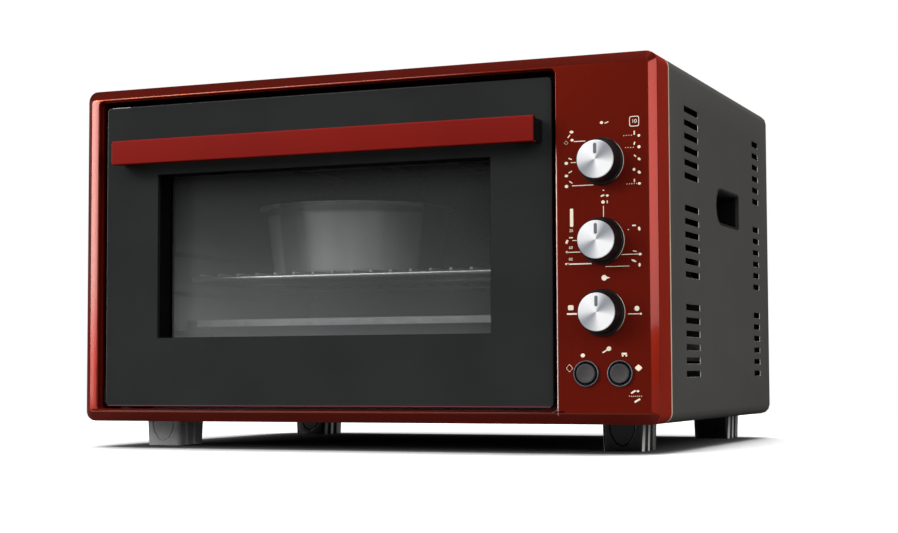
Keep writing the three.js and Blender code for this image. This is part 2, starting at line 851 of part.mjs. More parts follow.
function cavity() {
  const outside = prism(roundedOutline(grown(cavityArea, cavitySheet), cavityCorner + cavitySheet),
    'y', [flangeFront, cavityRear]);
  const flangeArea = {
    left: -halfWidth + frameWall + seat, right: recess.right + recessWall,
    low: bodyLow + frameWall + seat, high: bodyTop - frameWall - seat,
  };
  const flange = prism(roundedOutline(flangeArea, edgeRadius - frameWall), 'y',
    [flangeFront, cavityMouth]);
  const inside = prism(roundedOutline(cavityArea, cavityCorner), 'y',
    [flangeFront - overrun, cavityRear - cavitySheet]);
  const levels = Array.from({ length: runnerCount }, (_, level) => level);
  const runners = levels.flatMap((level) => [-1, 1].map((side) => runner(level, side, 0)));
  const grooves = levels.flatMap((level) => [-1, 1].map((side) => runner(level, side, cavitySheet)));
  const through = [cavityRear - cavitySheet - overrun, cavityRear + overrun];
  const elementHoles = [elementTopZ, elementLowZ].flatMap((z) => [-1, 1].map((side) => moved(
    rod('y', elementRadius + seat, through), doorMiddle + side * elementSideX, 0, z)));
  const sideSpan = [cavityRight - overrun, cavityRight + cavitySheet + overrun];
  const lampHole = moved(rod('x', lampHoleRadius, sideSpan, midSides), 0, lampY, lampZ);
  const bulbHole = moved(rod('x', capillaryRadius + seat, sideSpan, wireSides),
    0, capillaryY, bulbZ);
  return cut(join(cut(join(outside, flange), inside), ...runners),
    ...grooves, ...elementHoles, ...fanSlots(), lampHole, bulbHole);
}

function cavityGasket() {
  const mouth = grown(cavityArea, gasketInset);
  const span = [recessDepth - gasketDepth, recessDepth];
  return cut(
    prism(roundedOutline(grown(mouth, gasketWidth), cavityCorner + gasketWidth), 'y', span),
    prism(roundedOutline(mouth, cavityCorner), 'y', [span[0] - overrun, span[1] + overrun]));
}

// Shaft and holder pass through the shield's right-hand side.
function heatShield() {
  const span = [cavityMouth + shieldFrontGap, cavityRear - shieldBackGap];
  const cutSpan = [span[0] - overrun, span[1] + overrun];
  const low = baseTop + seat;
  const outside = block([shieldLeft - shieldSheet, shieldRight + shieldSheet], span,
    [low, shieldTop + shieldSheet]);
  const inside = block([shieldLeft, shieldRight], cutSpan, [low - overrun, shieldTop]);
  const lips = [
    block([shieldLeft - shieldLip, shieldLeft], span, [low, low + shieldSheet]),
    block([shieldRight, shieldRight + shieldLip], span, [low, low + shieldSheet]),
  ];
  const sideSpan = [shieldRight - overrun, shieldRight + shieldSheet + overrun];
  const shaftHole = moved(rod('x', fanShaftRadius * 2, sideSpan), 0, fanY, fanZ);
  const bulbHole = moved(rod('x', capillaryRadius * 2, sideSpan, wireSides),
    0, capillaryY, bulbZ);
  return cut(join(cut(outside, inside), ...lips), shaftHole, bulbHole);
}

function element(z, legs) {
  const front = cavityMouth + elementFrontGap;
  const rear = cavityRear - elementRearGap;
  const tail = cavityRear + elementTail;
  const points = [];
  legs.forEach((share, i) => {
    const x = doorMiddle + share * elementSideX;
    const first = i === 0 ? tail : rear;
    const second = i === legs.length - 1 ? tail : rear;
    const pair = i % 2 === 0 ? [first, front] : [front, second];
    pair.forEach((y) => points.push(new THREE.Vector3(x, y, z)));
  });
  return bentWire(points, elementRadius, wireSides, elementBend);
}
const topLegShares = [-1, -1 / 3, 1 / 3, 1];
const lowLegShares = [-1, 1];

// Lamp pieces are turned about X. Places are counted from the cavity wall's faces.
const lampInner = cavityRight - seat;
const lampRimRadius = lampHoleRadius + lampFlange;
function lampLens() {
  const face = lampInner - lampFlangeThick;
  const dome = lampInner - lampDomeReach;
  return turned([
    [0, dome], [lampHoleRadius - lampFlange, dome], [lampHoleRadius, face],
    [lampRimRadius, face], [lampRimRadius, lampInner], [lampHoleRadius - lampGlassWall, lampInner],
    [lampHoleRadius - lampFlange - lampGlassWall / 2, dome + lampGlassWall],
    [0, dome + lampGlassWall],
  ], 'x', midSides);
}
function lampHolder() {
  const end = wallOutside + lampCupDepth;
  const cup = lampHoleRadius - lampCupWall;
  return turned([
    [cup, wallOutside], [lampRimRadius, wallOutside],
    [lampRimRadius, wallOutside + lampFlangeThick],
    [lampHoleRadius, wallOutside + lampFlangeThick], [lampHoleRadius, end],
    [0, end], [0, end - lampCupWall], [cup, end - lampCupWall],
  ], 'x', midSides);
}
function lampBulb() {
  const end = wallOutside + lampCupDepth - lampCupWall - seat;
  const tip = end - lampBulbLength;
  const neck = tip + 2 * lampBulbRadius;
  return turned([
    [0, tip], [lampBulbRadius * Math.SQRT1_2, tip + lampBulbRadius * (1 - Math.SQRT1_2)],
    [lampBulbRadius, tip + lampBulbRadius], [lampCapRadius, neck], [lampCapRadius, end], [0, end],
  ], 'x', smallSides);
}

// Side fan: the housing is a round dish against the wall, the motor sits behind the shield.
const fanHousingBack = shieldRight - seat;
const fanDiscX = wallOutside + fanMouthGap + fanVaneDepth;
function fanHousing() {
  const inner = fanHousingRadius - fanHousingWall;
  const shaftHole = fanShaftRadius * 2;
  return turned([
    [fanHousingRadius, wallOutside], [fanHousingRadius, fanHousingBack],
    [shaftHole, fanHousingBack], [shaftHole, fanHousingBack - fanHousingWall],
    [inner, fanHousingBack - fanHousingWall], [inner, wallOutside],
  ], 'x', midSides);
}
const motorFace = shieldRight + shieldSheet + seat;
const motorBoreEnd = motorFace + motorStackDepth;
function fanBlade() {
  const disc = rod('x', fanRadius, [fanDiscX, fanDiscX + fanDisc], roundSides);
  const hub = rod('x', fanHubRadius, [fanDiscX - fanVaneDepth, fanDiscX + fanDisc]);
  const shaft = rod('x', fanShaftRadius, [fanDiscX, motorBoreEnd - seat]);
  const vanes = Array.from({ length: fanVaneCount }, (_, i) => {
    const angle = i / fanVaneCount * 2 * Math.PI;
    const geometry = new THREE.BoxGeometry(
      fanVaneDepth + fanDisc, fanRadius * (1 - fanVaneRootShare), fanVaneThick);
    geometry.translate(fanDiscX + (fanDisc - fanVaneDepth) / 2,
      fanRadius * (1 + fanVaneRootShare) / 2 - fanVaneThick, 0);
    geometry.rotateX(angle);
    return toSolid(geometry);
  });
  return join(disc, hub, shaft, ...vanes);
}
function fanMotor() {
  const half = motorStack / 2;
  const stack = prism(roundedOutline(around(0, 0, half), footCorner), 'x',
    [motorFace, motorFace + motorStackDepth]);
  const can = rod('x', motorCanRadius,
    [motorFace + motorStackDepth - overrun, motorFace + motorStackDepth + motorCanDepth], midSides);
  const bore = rod('x', fanShaftRadius + seat, [motorFace - overrun, motorBoreEnd]);
  return cut(join(stack, can), bore);
}

// The feeler of the thermostat lies under the ceiling, and its thin tube runs to the thermostat.
const switchFront = bracketY + bracketSheet + seat;
const thermostatBack = switchFront + thermostatDepth;
function capillary() {
  const bend = Math.min(bulbWallGap - seat, Math.abs(bulbZ - knobZ.thermostat) / 2);
  const bulb = moved(rod('y', bulbRadius, [0, bulbLength], wireSides), bulbX, bulbFrontY, bulbZ);
  const tube = bentWire([
    new THREE.Vector3(bulbX, bulbFrontY + bulbLength - overrun, bulbZ),
    new THREE.Vector3(bulbX, capillaryY, bulbZ),
    new THREE.Vector3(panelMiddle, capillaryY, bulbZ),
    new THREE.Vector3(panelMiddle, thermostatBack + capillaryBend * 2, bulbZ),
    new THREE.Vector3(panelMiddle, thermostatBack + capillaryBend * 2, knobZ.thermostat),
    new THREE.Vector3(panelMiddle, thermostatBack + seat, knobZ.thermostat),
  ], capillaryRadius, barSides, bend);
  return join(bulb, tube);
}

piece('cavity', cavity(), enamel, oven);
piece('cavity_gasket', cavityGasket(), sealGrey, oven);
piece('heat_shield', heatShield(), galvanised, oven);
piece('top_element', element(elementTopZ, topLegShares), elementSteel, oven);
piece('bottom_element', element(elementLowZ, lowLegShares), elementSteel, oven);
const lampGroup = new THREE.Group();
lampGroup.position.set(0, lampY, lampZ);
oven.add(lampGroup);
piece('lamp_lens', lampLens(), clearGlass, lampGroup);
piece('lamp_holder', lampHolder(), galvanised, lampGroup);
piece('lamp_bulb', lampBulb(), clearGlass, lampGroup);
const fanGroup = new THREE.Group();
fanGroup.position.set(0, fanY, fanZ);
oven.add(fanGroup);
piece('fan_housing', fanHousing(), galvanised, fanGroup);
piece('fan_blade', fanBlade(), steel, fanGroup);
piece('fan_motor', fanMotor(), steel, fanGroup);
piece('thermostat_capillary', capillary(), brass, oven);

// Door: glass, frame, inner glass and panel, handle and hinge pins

function doorGlassOuter() {
  return prism(roundedOutline(door, doorCorner), 'y', [doorSetBack, glassBack]);
}

// The frame is a shallow pan with a tunnel round the window.
const doorFrameArea = {
  ...grown(door, -doorFrameInset), low: door.low + doorFrameLowInset,
};
function doorFrame() {
  const area = doorFrameArea;
  const pan = cut(
    prism(roundedOutline(area, doorCorner), 'y', [doorFrameFront, doorFrameBack]),
    prism(roundedOutline(grown(area, -doorFrameWall), doorCorner - doorFrameWall), 'y',
      [doorFrameFront + doorFrameFace, doorFrameBack + overrun]));
  const tunnel = prism(roundedOutline(grown(windowArea, tunnelWall), windowCorner), 'y',
    [doorFrameFront, tunnelEnd]);
  const opening = prism(roundedOutline(windowArea, windowCorner), 'y',
    [doorFrameFront - overrun, doorFrameBack + overrun]);
  const pinHoles = [-1, 1].map((side) => {
    const edge = side < 0 ? area.left : area.right;
    return moved(rod('x', hingePinRadius + seat, [-doorCorner - overrun, doorCorner + overrun]),
      edge, hingeY, hingeZ);
  });
  return cut(join(pan, tunnel), opening, ...pinHoles);
}

function doorGlassInner() {
  return prism(roundedOutline(grown(windowArea, glassLap), windowCorner), 'y',
    [innerGlassFront, innerGlassBack]);
}

function doorInnerPanel() {
  const front = doorFrameBack + seat;
  return cut(
    prism(roundedOutline(doorFrameArea, doorCorner), 'y', [front, innerPanelBack]),
    prism(roundedOutline(windowArea, windowCorner), 'y', [front - overrun, innerPanelBack + overrun]));
}

const handleFront = doorSetBack - handleReach;
const handleLeft = door.left + handleLeftInset;
const handleRight = door.right - handleRightInset;
const handleMiddleZ = door.high - handleDrop;
const trimArea = { low: handleMiddleZ - handleHeight / 2, high: handleMiddleZ + handleHeight / 2 };

// The trim is a channel that grips the bar from the front.
function handleTrim() {
  const back = handleFront + handleTrimLip;
  return cut(
    block([handleLeft, handleRight], [handleFront, back], [trimArea.low, trimArea.high]),
    block([handleLeft - overrun, handleRight + overrun], [handleFront + handleTrimWall, back + overrun],
      [trimArea.low + handleTrimWall, trimArea.high - handleTrimWall]));
}

function handleGrip() {
  const inset = handleTrimWall + seat;
  const height = [trimArea.low + inset, trimArea.high - inset];
  const front = handleFront + inset;
  const barBack = front + handleBarDepth;
  const outside = block([handleLeft, handleRight], [front, doorSetBack - seat], height);
  const fingers = prism(roundedOutline({
    left: handleLeft + handlePostWidth, right: handleRight - handlePostWidth,
    low: barBack, high: doorSetBack + handleReach,
  }, handlePostRound), 'z', [height[0] - overrun, height[1] + overrun]);
  return cut(outside, fingers);
}

const bracketPlateGap = (doorSideGap - hingePlate) / 2;

// Hinge pin at the origin, reaching outwards along -X.
function hingePin() {
  return rod('x', hingePinRadius, [-doorSideGap + seat, hingePinReach]);
}

// The bracket's eye is round the pin; its foot lies on the cavity's flange.
function hingeBracket() {
  const plate = [-doorSideGap + bracketPlateGap, -bracketPlateGap];
  const back = recessDepth - hingeY;
  const eye = block(plate, [-hingePlateFront, back], [-hingePlateHalf, hingePlateHalf]);
  const base = block([plate[0], plate[0] + hingeFoot], [back - hingeFootSheet, back],
    [-hingePlateHalf, hingePlateHalf]);
  const bore = rod('x', hingePinRadius + seat, [plate[0] - overrun, plate[1] + overrun]);
  return cut(join(eye, base), bore);
}

const doorGroup = new THREE.Group();
oven.add(doorGroup);
piece('door_glass_outer', doorGlassOuter(), darkGlass, doorGroup);
piece('door_frame', doorFrame(), blackPlastic, doorGroup);
piece('door_glass_inner', doorGlassInner(), clearGlass, doorGroup);
piece('door_inner_panel', doorInnerPanel(), enamel, doorGroup);
piece('handle_trim', handleTrim(), redTrim, doorGroup);
piece('handle_grip', handleGrip(), blackPlastic, doorGroup);
const pinSolid = hingePin();
const bracketSolid = hingeBracket();
[['left', door.left, 0], ['right', door.right, Math.PI]].forEach(([side, x, turn]) => {
  const pin = piece(`hinge_pin_${side}`, pinSolid, steel, doorGroup);
  const bracket = piece(`hinge_bracket_${side}`, bracketSolid, galvanised, oven);
  [pin, bracket].forEach((mesh) => mesh.position.set(x, hingeY, hingeZ));
  pin.rotation.z = turn;
  bracket.rotation.y = turn;
});

// Controls: knobs, switches and push buttons

// A knob's axis is the Y axis, and the panel's face is y = 0.
function knobBody() {
  const back = -knobGap;
  const front = back - knobHeight;
  const outside = turned([
    [0, back], [knobSkirtRadius, back], [knobSkirtRadius, back - knobSkirt / 2],
    [knobSkirtRadius - knobChamfer, back - knobSkirt], [knobBaseRadius, back - knobSkirt - knobChamfer],
    [knobTopRadius, front + knobChamfer], [knobTopRadius - knobChamfer / 2, front], [0, front],
  ], 'y');
  const capSeat = rod('y', capRadius + seat, [front - overrun, front + capSink], roundSides);
  const bore = rod('y', shaftRadius + seat, [-shaftInKnob - seat, overrun]);
  return cut(outside, capSeat, bore);
}

function knobCap() {
  const back = -knobGap - knobHeight + capSink - seat;
  const front = back - capThick;
  const disc = turned([
    [0, back], [capRadius, back], [capRadius, front + capChamfer],
    [capRadius - capChamfer, front], [0, front],
  ], 'y');
  const high = capRadius - pointerInset;
  const pointer = block([-pointerWidth / 2, pointerWidth / 2],
    [front - overrun, front + pointerDepth], [high - pointerLength, high]);
  return cut(disc, pointer);
}

function knobShaft() {
  const shaft = rod('y', shaftRadius, [-shaftInKnob, switchFront + shaftInSwitch]);
  const flat = block([shaftRadius - shaftFlat, shaftRadius + overrun],
    [-shaftInKnob - overrun, -knobGap], [-shaftRadius - overrun, shaftRadius + overrun]);
  return cut(shaft, flat);
}

// Switch housings stand behind the bracket, with their threaded bush through it.
function blades(back, count) {
  return Array.from({ length: count }, (_, i) => {
    const z = (i - (count - 1) / 2) * bladePitch;
    return block([-bladeWidth / 2, bladeWidth / 2], [back - overrun, back + bladeLength],
      [z - bladeThick / 2, z + bladeThick / 2]);
  });
}
function withBush(housing) {
  const bush = rod('y', bushRadius, [switchFront - bushReach, switchFront + overrun]);
  const bore = rod('y', shaftRadius + seat,
    [switchFront - bushReach - overrun, switchFront + shaftInSwitch + seat]);
  return cut(join(housing, bush), bore);
}
function thermostatBody() {
  const half = thermostatSize / 2;
  const housing = prism(roundedOutline(around(0, 0, half), knobSkirt), 'y',
    [switchFront, thermostatBack]);
  const sideBlades = moved(join(...blades(thermostatBack, 2)), half / 2 + bladeWidth / 2, 0, 0);
  return withBush(join(housing, sideBlades));
}
function timerBody() {
  const back = switchFront + timerDepth;
  const housing = turned([
    [0, switchFront], [timerRadius, switchFront], [timerRadius, back], [timerBellRadius, back],
    [timerBellRadius * Math.SQRT1_2, back + timerBellDepth], [0, back + timerBellDepth],
  ], 'y', midSides);
  return withBush(housing);
}
function selectorBody() {
  const back = switchFront + selectorDepth;
  const housing = block([-selectorWidth / 2, selectorWidth / 2], [switchFront, back],
    [-selectorHeight / 2, selectorHeight / 2]);
  const rows = [-1, 1].map((side) =>
    moved(join(...blades(back, 2)), side * selectorWidth / 4, 0, 0));
  return withBush(join(housing, ...rows));
}

function controlBracket() {
  const span = [bracketY, bracketY + bracketSheet];
  const height = [bodyLow + bracketLowRise, bodyTop - bracketTopDrop];
  const plate = block([-bracketHalf, bracketHalf], span, height);
  const legFront = frameWall + seat;
  const legs = [-1, 1].map((side) => {
    const outer = side * bracketHalf;
    const inner = side * (bracketHalf - bracketSheet);
    return block([Math.min(outer, inner), Math.max(outer, inner)], [legFront, span[1]], height);
  });
  const through = [span[0] - overrun, span[1] + overrun];
  const bushHoles = Object.values(knobZ).map((z) =>
    moved(rod('y', bushRadius + seat, through), 0, 0, z));
  const stemHoles = [-1, 1].map((side) => moved(
    rod('y', buttonStemRadius + seat, through), side * buttonSpacing / 2, 0, buttonZ));
  return cut(join(plate, ...legs), ...bushHoles, ...stemHoles);
}

function buttonBezel() {
  return turned([
    [bezelInnerRadius, -bezelProud + bezelRound], [bezelInnerRadius + bezelRound, -bezelProud],
    [bezelRadius - bezelRound, -bezelProud], [bezelRadius, -bezelProud + bezelRound],
    [bezelRadius, -seat], [bezelBarrelRadius, -seat], [bezelBarrelRadius, bezelBarrel],
    [bezelInnerRadius, bezelBarrel],
  ], 'y', midSides);
}
const stemEnd = switchFront + pushSwitchBore - buttonTravel - seat;
function pushButton() {
  const back = buttonLength - buttonProud;
  return turned([
    [0, -buttonProud + buttonDish], [buttonRadius / 2, -buttonProud + buttonDish / 2],
    [buttonRadius - bezelRound, -buttonProud], [buttonRadius, -buttonProud + bezelRound],
    [buttonRadius, back], [buttonStemRadius, back], [buttonStemRadius, stemEnd], [0, stemEnd],
  ], 'y', midSides);
}
function pushSwitch() {
  const half = pushSwitchSize / 2;
  const back = switchFront + pushSwitchDepth;
  const housing = block([-half, half], [switchFront, back], [-half, half]);
  const bore = rod('y', buttonStemRadius + seat,
    [switchFront - overrun, switchFront + pushSwitchBore]);
  return cut(join(housing, ...blades(back, 2)), bore);
}

const bracketMesh = piece('control_bracket', controlBracket(), galvanised, oven);
bracketMesh.position.x = panelMiddle;
const knobSolid = knobBody();
const capSolid = knobCap();
const shaftSolid = knobShaft();
const switchSolids = {
  thermostat: thermostatBody(), timer: timerBody(), selector: selectorBody(),
};
Object.entries(knobZ).forEach(([name, z]) => {
  const group = new THREE.Group();
  group.position.set(panelMiddle, 0, z);
  oven.add(group);
  piece(`${name}_knob`, knobSolid, blackPlastic, group);
  piece(`${name}_knob_cap`, capSolid, spunAluminium, group);
  piece(`${name}_shaft`, shaftSolid, steel, group);
  piece(`${name}_body`, switchSolids[name], galvanised, group);
});
const bezelSolid = buttonBezel();
const buttonSolid = pushButton();
const pushSwitchSolid = pushSwitch();
[['lamp', -1], ['fan', 1]].forEach(([name, side]) => {
  const group = new THREE.Group();
  group.position.set(panelMiddle + side * buttonSpacing / 2, 0, buttonZ);
  oven.add(group);
  piece(`${name}_button_bezel`, bezelSolid, steel, group);
  piece(`${name}_button`, buttonSolid, blackPlastic, group);
  piece(`${name}_switch_body`, pushSwitchSolid, blackPlastic, group);
});

// Mains inlet: the gland in the rear panel and the terminal block inside

function cordGland() {
  const face = rearFace + seat;
  return turned([
    [inletBore, face + inletProud], [inletRadius, face + inletProud],
    [inletFlange, face + inletFlangeThick], [inletFlange, face], [inletRadius, face],
    [inletRadius, face - inletProud], [inletBore, face - inletProud],
  ], 'y', smallSides);
}
function terminalBlock() {
  const back = rearFace - rearSheet - seat;
  const front = back - terminalDepth;
  const half = terminalWidth / 2;
  const bodyBlock = block([-half, half], [front, back], [0, terminalHeight]);
  const wells = Array.from({ length: terminalWays }, (_, i) => {
    const x = (i - (terminalWays - 1) / 2) * terminalWidth / terminalWays;
    const z = terminalHeight / 2;
    return block([x - terminalWell / 2, x + terminalWell / 2],
      [front - overrun, front + terminalWellDepth], [z - terminalWell / 2, z + terminalWell / 2]);
  });
  return cut(bodyBlock, ...wells);
}
const gland = piece('cord_gland', cordGland(), blackPlastic, oven);
gland.position.set(inletX, 0, inletZ);
const terminals = piece('terminal_block', terminalBlock(), sealGrey, oven);
terminals.position.set(inletX, 0, inletZ + terminalRise);

// Rack, tray and tin

const wireZ = runnerTop(rackLevel) + seat + rackWire;
const rackFrontY = cavityMouth + rackFrontGap;
const rackRearY = cavityRear - cavitySheet - rackRearGap;
function wireRack() {
  const left = cavityLeft + rackSideGap + rackWire;
  const right = cavityRight - rackSideGap - rackWire;
  const front = rackFrontY + rackWire;
  const rear = rackRearY;
  const rimRear = rear - rackCorner;
  const rim = bentWire([
    new THREE.Vector3(left, rimRear, wireZ), new THREE.Vector3(left, front, wireZ),
    new THREE.Vector3(right, front, wireZ), new THREE.Vector3(right, rimRear, wireZ),
  ], rackWire, wireSides, rackCorner);
  const back = bentWire([
    new THREE.Vector3(left, rimRear - rackWire, wireZ), new THREE.Vector3(left, rear, wireZ),
    new THREE.Vector3(right, rear, wireZ), new THREE.Vector3(right, rimRear - rackWire, wireZ),
  ], rackWire, wireSides, rackCorner);
  const barZ = wireZ + rackWire + rackRod - rackSink;
  const pitch = (right - left) / (rackBars + 1);
  const bars = Array.from({ length: rackBars }, (_, i) => moved(
    rod('y', rackRod, [front - rackWire / 2, rear + rackWire / 2], barSides),
    left + (i + 1) * pitch, 0, barZ));
  const middleY = (front + rear) / 2;
  const brace = moved(rod('x', rackRod, [left - rackRod, right + rackRod], barSides),
    0, middleY, barZ - 2 * rackRod + rackSink);
  return join(rim, back, brace, ...bars);
}
const rackTop = wireZ + rackWire + 2 * rackRod - rackSink;

function bakingTray() {
  const rimZ = runnerTop(trayLevel) + seat;
  const area = {
    left: cavityLeft + traySideGap, right: cavityRight - traySideGap,
    low: cavityMouth + trayFrontGap, high: cavityRear - cavitySheet - trayRearGap,
  };
  const pan = grown(area, -trayRim);
  const floor = grown(pan, -trayTaper);
  const rim = prism(roundedOutline(area, trayCorner), 'z', [rimZ, rimZ + traySheet]);
  const shell = loft([
    ringAtZ(roundedOutline(floor, trayCorner), rimZ - trayDepth),
    ringAtZ(roundedOutline(pan, trayCorner), rimZ + traySheet),
  ]);
  const inside = loft([
    ringAtZ(roundedOutline(grown(floor, -traySheet), trayCorner), rimZ - trayDepth + traySheet),
    ringAtZ(roundedOutline(grown(pan, -traySheet), trayCorner), rimZ + traySheet),
    ringAtZ(roundedOutline(grown(pan, -traySheet), trayCorner), rimZ + traySheet + overrun),
  ]);
  return cut(join(rim, shell), inside);
}

function roundTin() {
  const rimZ = tinHeight - tinSheet;
  return turned([
    [0, 0], [tinBaseRadius - tinBaseRound, 0], [tinBaseRadius, tinBaseRound],
    [tinTopRadius, rimZ], [tinRimRadius, rimZ], [tinRimRadius, tinHeight],
    [tinTopRadius - tinSheet, tinHeight], [tinBaseRadius - tinSheet, tinBaseRound],
    [tinBaseRadius - tinBaseRound - tinSheet / 2, tinSheet], [0, tinSheet],
  ], 'z');
}

piece('wire_rack', wireRack(), steel, oven);
piece('baking_tray', bakingTray(), enamel, oven);
const tin = piece('round_tin', roundTin(), steel, oven);
const tinRoom = {
  x: cavityWidth - 2 * tinRimRadius,
  y: rackRearY + rackWire - rackFrontY - 2 * tinRimRadius,
};
tin.position.set(
  cavityLeft + tinPlaceShares.x * tinRoom.x + tinRimRadius,
  rackFrontY + tinPlaceShares.y * tinRoom.y + tinRimRadius,
  rackTop + seat,
);

// The origin is under the middle of the whole oven, on the worktop.
const extent = new THREE.Box3().setFromObject(oven);
oven.position.set(-(extent.min.x + extent.max.x) / 2, -(extent.min.y + extent.max.y) / 2, 0);

export default oven;
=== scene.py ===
"""A table-top electric oven in red, black and grey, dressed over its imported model.

The oven stands on a pale floor, +Z is up and the front faces -Y. Finishes and lamps count in
metres. The sizes of pieces and the camera's place are in millimetres. Each sub-assembly is a
class that works its surfaces out with numpy and dresses them.
"""

import logging
import math
from contextlib import contextmanager
from dataclasses import dataclass, field
from enum import Enum
from typing import Any, Iterable, Iterator, Sequence

import bmesh
import bpy
import numpy as np
from mathutils import Matrix, Vector


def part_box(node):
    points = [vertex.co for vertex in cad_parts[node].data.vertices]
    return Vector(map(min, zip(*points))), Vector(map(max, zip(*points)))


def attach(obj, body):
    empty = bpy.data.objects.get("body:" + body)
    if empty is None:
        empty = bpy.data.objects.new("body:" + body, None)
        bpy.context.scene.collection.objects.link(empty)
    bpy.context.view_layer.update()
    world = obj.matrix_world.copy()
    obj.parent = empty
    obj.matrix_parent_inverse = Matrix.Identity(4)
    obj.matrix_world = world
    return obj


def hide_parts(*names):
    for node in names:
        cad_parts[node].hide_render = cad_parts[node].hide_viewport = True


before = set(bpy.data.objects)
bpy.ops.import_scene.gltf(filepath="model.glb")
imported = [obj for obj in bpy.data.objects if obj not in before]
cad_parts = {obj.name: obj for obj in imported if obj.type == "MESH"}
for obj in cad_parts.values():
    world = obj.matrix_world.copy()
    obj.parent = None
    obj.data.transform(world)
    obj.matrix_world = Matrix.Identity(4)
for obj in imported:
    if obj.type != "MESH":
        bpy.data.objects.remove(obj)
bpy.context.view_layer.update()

LOG = logging.getLogger("oven")
MM = 0.001
FULL_TURN = 2 * math.pi
SOFT_ANGLE = 30.0
FLAT_ANGLE = 0.6
MERGE = 1e-7
PACKED_MERGE = 2e-6
Colour = tuple[float, float, float]
Point = tuple[float, float, float]
Span = tuple[float, float]
Area = tuple[float, float, float, float]
# Bumps in a metre, the same all round or along x, y and z, and the number of finer layers
Pattern = tuple[float | Point, float]


def linear(red: float, green: float, blue: float) -> Colour:
    """Turn a display colour of 0 to 255 into scene-linear light, by the standard curve.

    Args:
        red: Display red.
        green: Display green.
        blue: Display blue.

    Returns:
        The three linear values.
    """
    share = np.array([red, green, blue], float) / 255.0
    low, high = share / 12.92, ((share + 0.055) / 1.055) ** 2.4
    return tuple(float(v) for v in np.where(share <= 0.04045, low, high))


# Shader maths


class Signal:
    """A value that varies over a surface, with arithmetic that adds Math nodes."""

    def __init__(self, nodes: "Nodes", socket: bpy.types.NodeSocket) -> None:
        """Wrap a node's output socket."""
        self.nodes = nodes
        self.socket = socket

    def _math(self, operation: str, *values: Any) -> "Signal":
        """Add one Math node on numbers or signals, in order."""
        return self.nodes.add("ShaderNodeMath", dict(enumerate(values)), operation=operation)

    def __add__(self, other: Any) -> "Signal":
        """Add two values."""
        return self._math("ADD", self, other)

    __radd__ = __add__

    def __sub__(self, other: Any) -> "Signal":
        """Take a value away."""
        return self._math("SUBTRACT", self, other)

    def __rsub__(self, other: Any) -> "Signal":
        """Take this value away from another."""
        return self._math("SUBTRACT", other, self)

    def __mul__(self, other: Any) -> "Signal":
        """Multiply two values."""
        return self._math("MULTIPLY", self, other)

    __rmul__ = __mul__

    def __truediv__(self, other: Any) -> "Signal":
        """Divide by a value."""
        return self._math("DIVIDE", self, other)

    def __pow__(self, other: Any) -> "Signal":
        """Raise to a power."""
        return self._math("POWER", self, other)

    def absolute(self) -> "Signal":
        """Drop the sign."""
        return self._math("ABSOLUTE", self)

    def sine(self) -> "Signal":
        """Sine of the value in radians."""
        return self._math("SINE", self)

    def root(self) -> "Signal":
        """Square root."""
        return self._math("SQRT", self)

    def least(self, other: Any) -> "Signal":
        """Smaller of two values."""
        return self._math("MINIMUM", self, other)

    def most(self, other: Any) -> "Signal":
        """Larger of two values."""
        return self._math("MAXIMUM", self, other)

    def angle_to(self, other: Any) -> "Signal":
        """Angle whose tangent is this value over the other."""
        return self._math("ARCTAN2", self, other)

    def step(self, low: float, high: float) -> "Signal":
        """Rise smoothly from 0 at low to 1 at high."""
        reach = {"Value": self, "From Min": low, "From Max": high}
        return self.nodes.add("ShaderNodeMapRange", reach, interpolation_type="SMOOTHSTEP")

    def drop(self, low: float, high: float) -> "Signal":
        """Fall smoothly from 1 at low to 0 at high."""
        return 1.0 - self.step(low, high)

    def within(self, low: float, high: float, rise: float, fall: float | None = None) -> "Signal":
        """Rise from 0 over a stretch that starts at low, and fall over one that starts at high."""
        return self.step(low, low + rise) * self.drop(high, high + (rise if fall is None else fall))

    def between(self, low: float, high: float) -> "Signal":
        """Spread a value of 0 to 1 evenly between two numbers."""
        return self * (high - low) + low


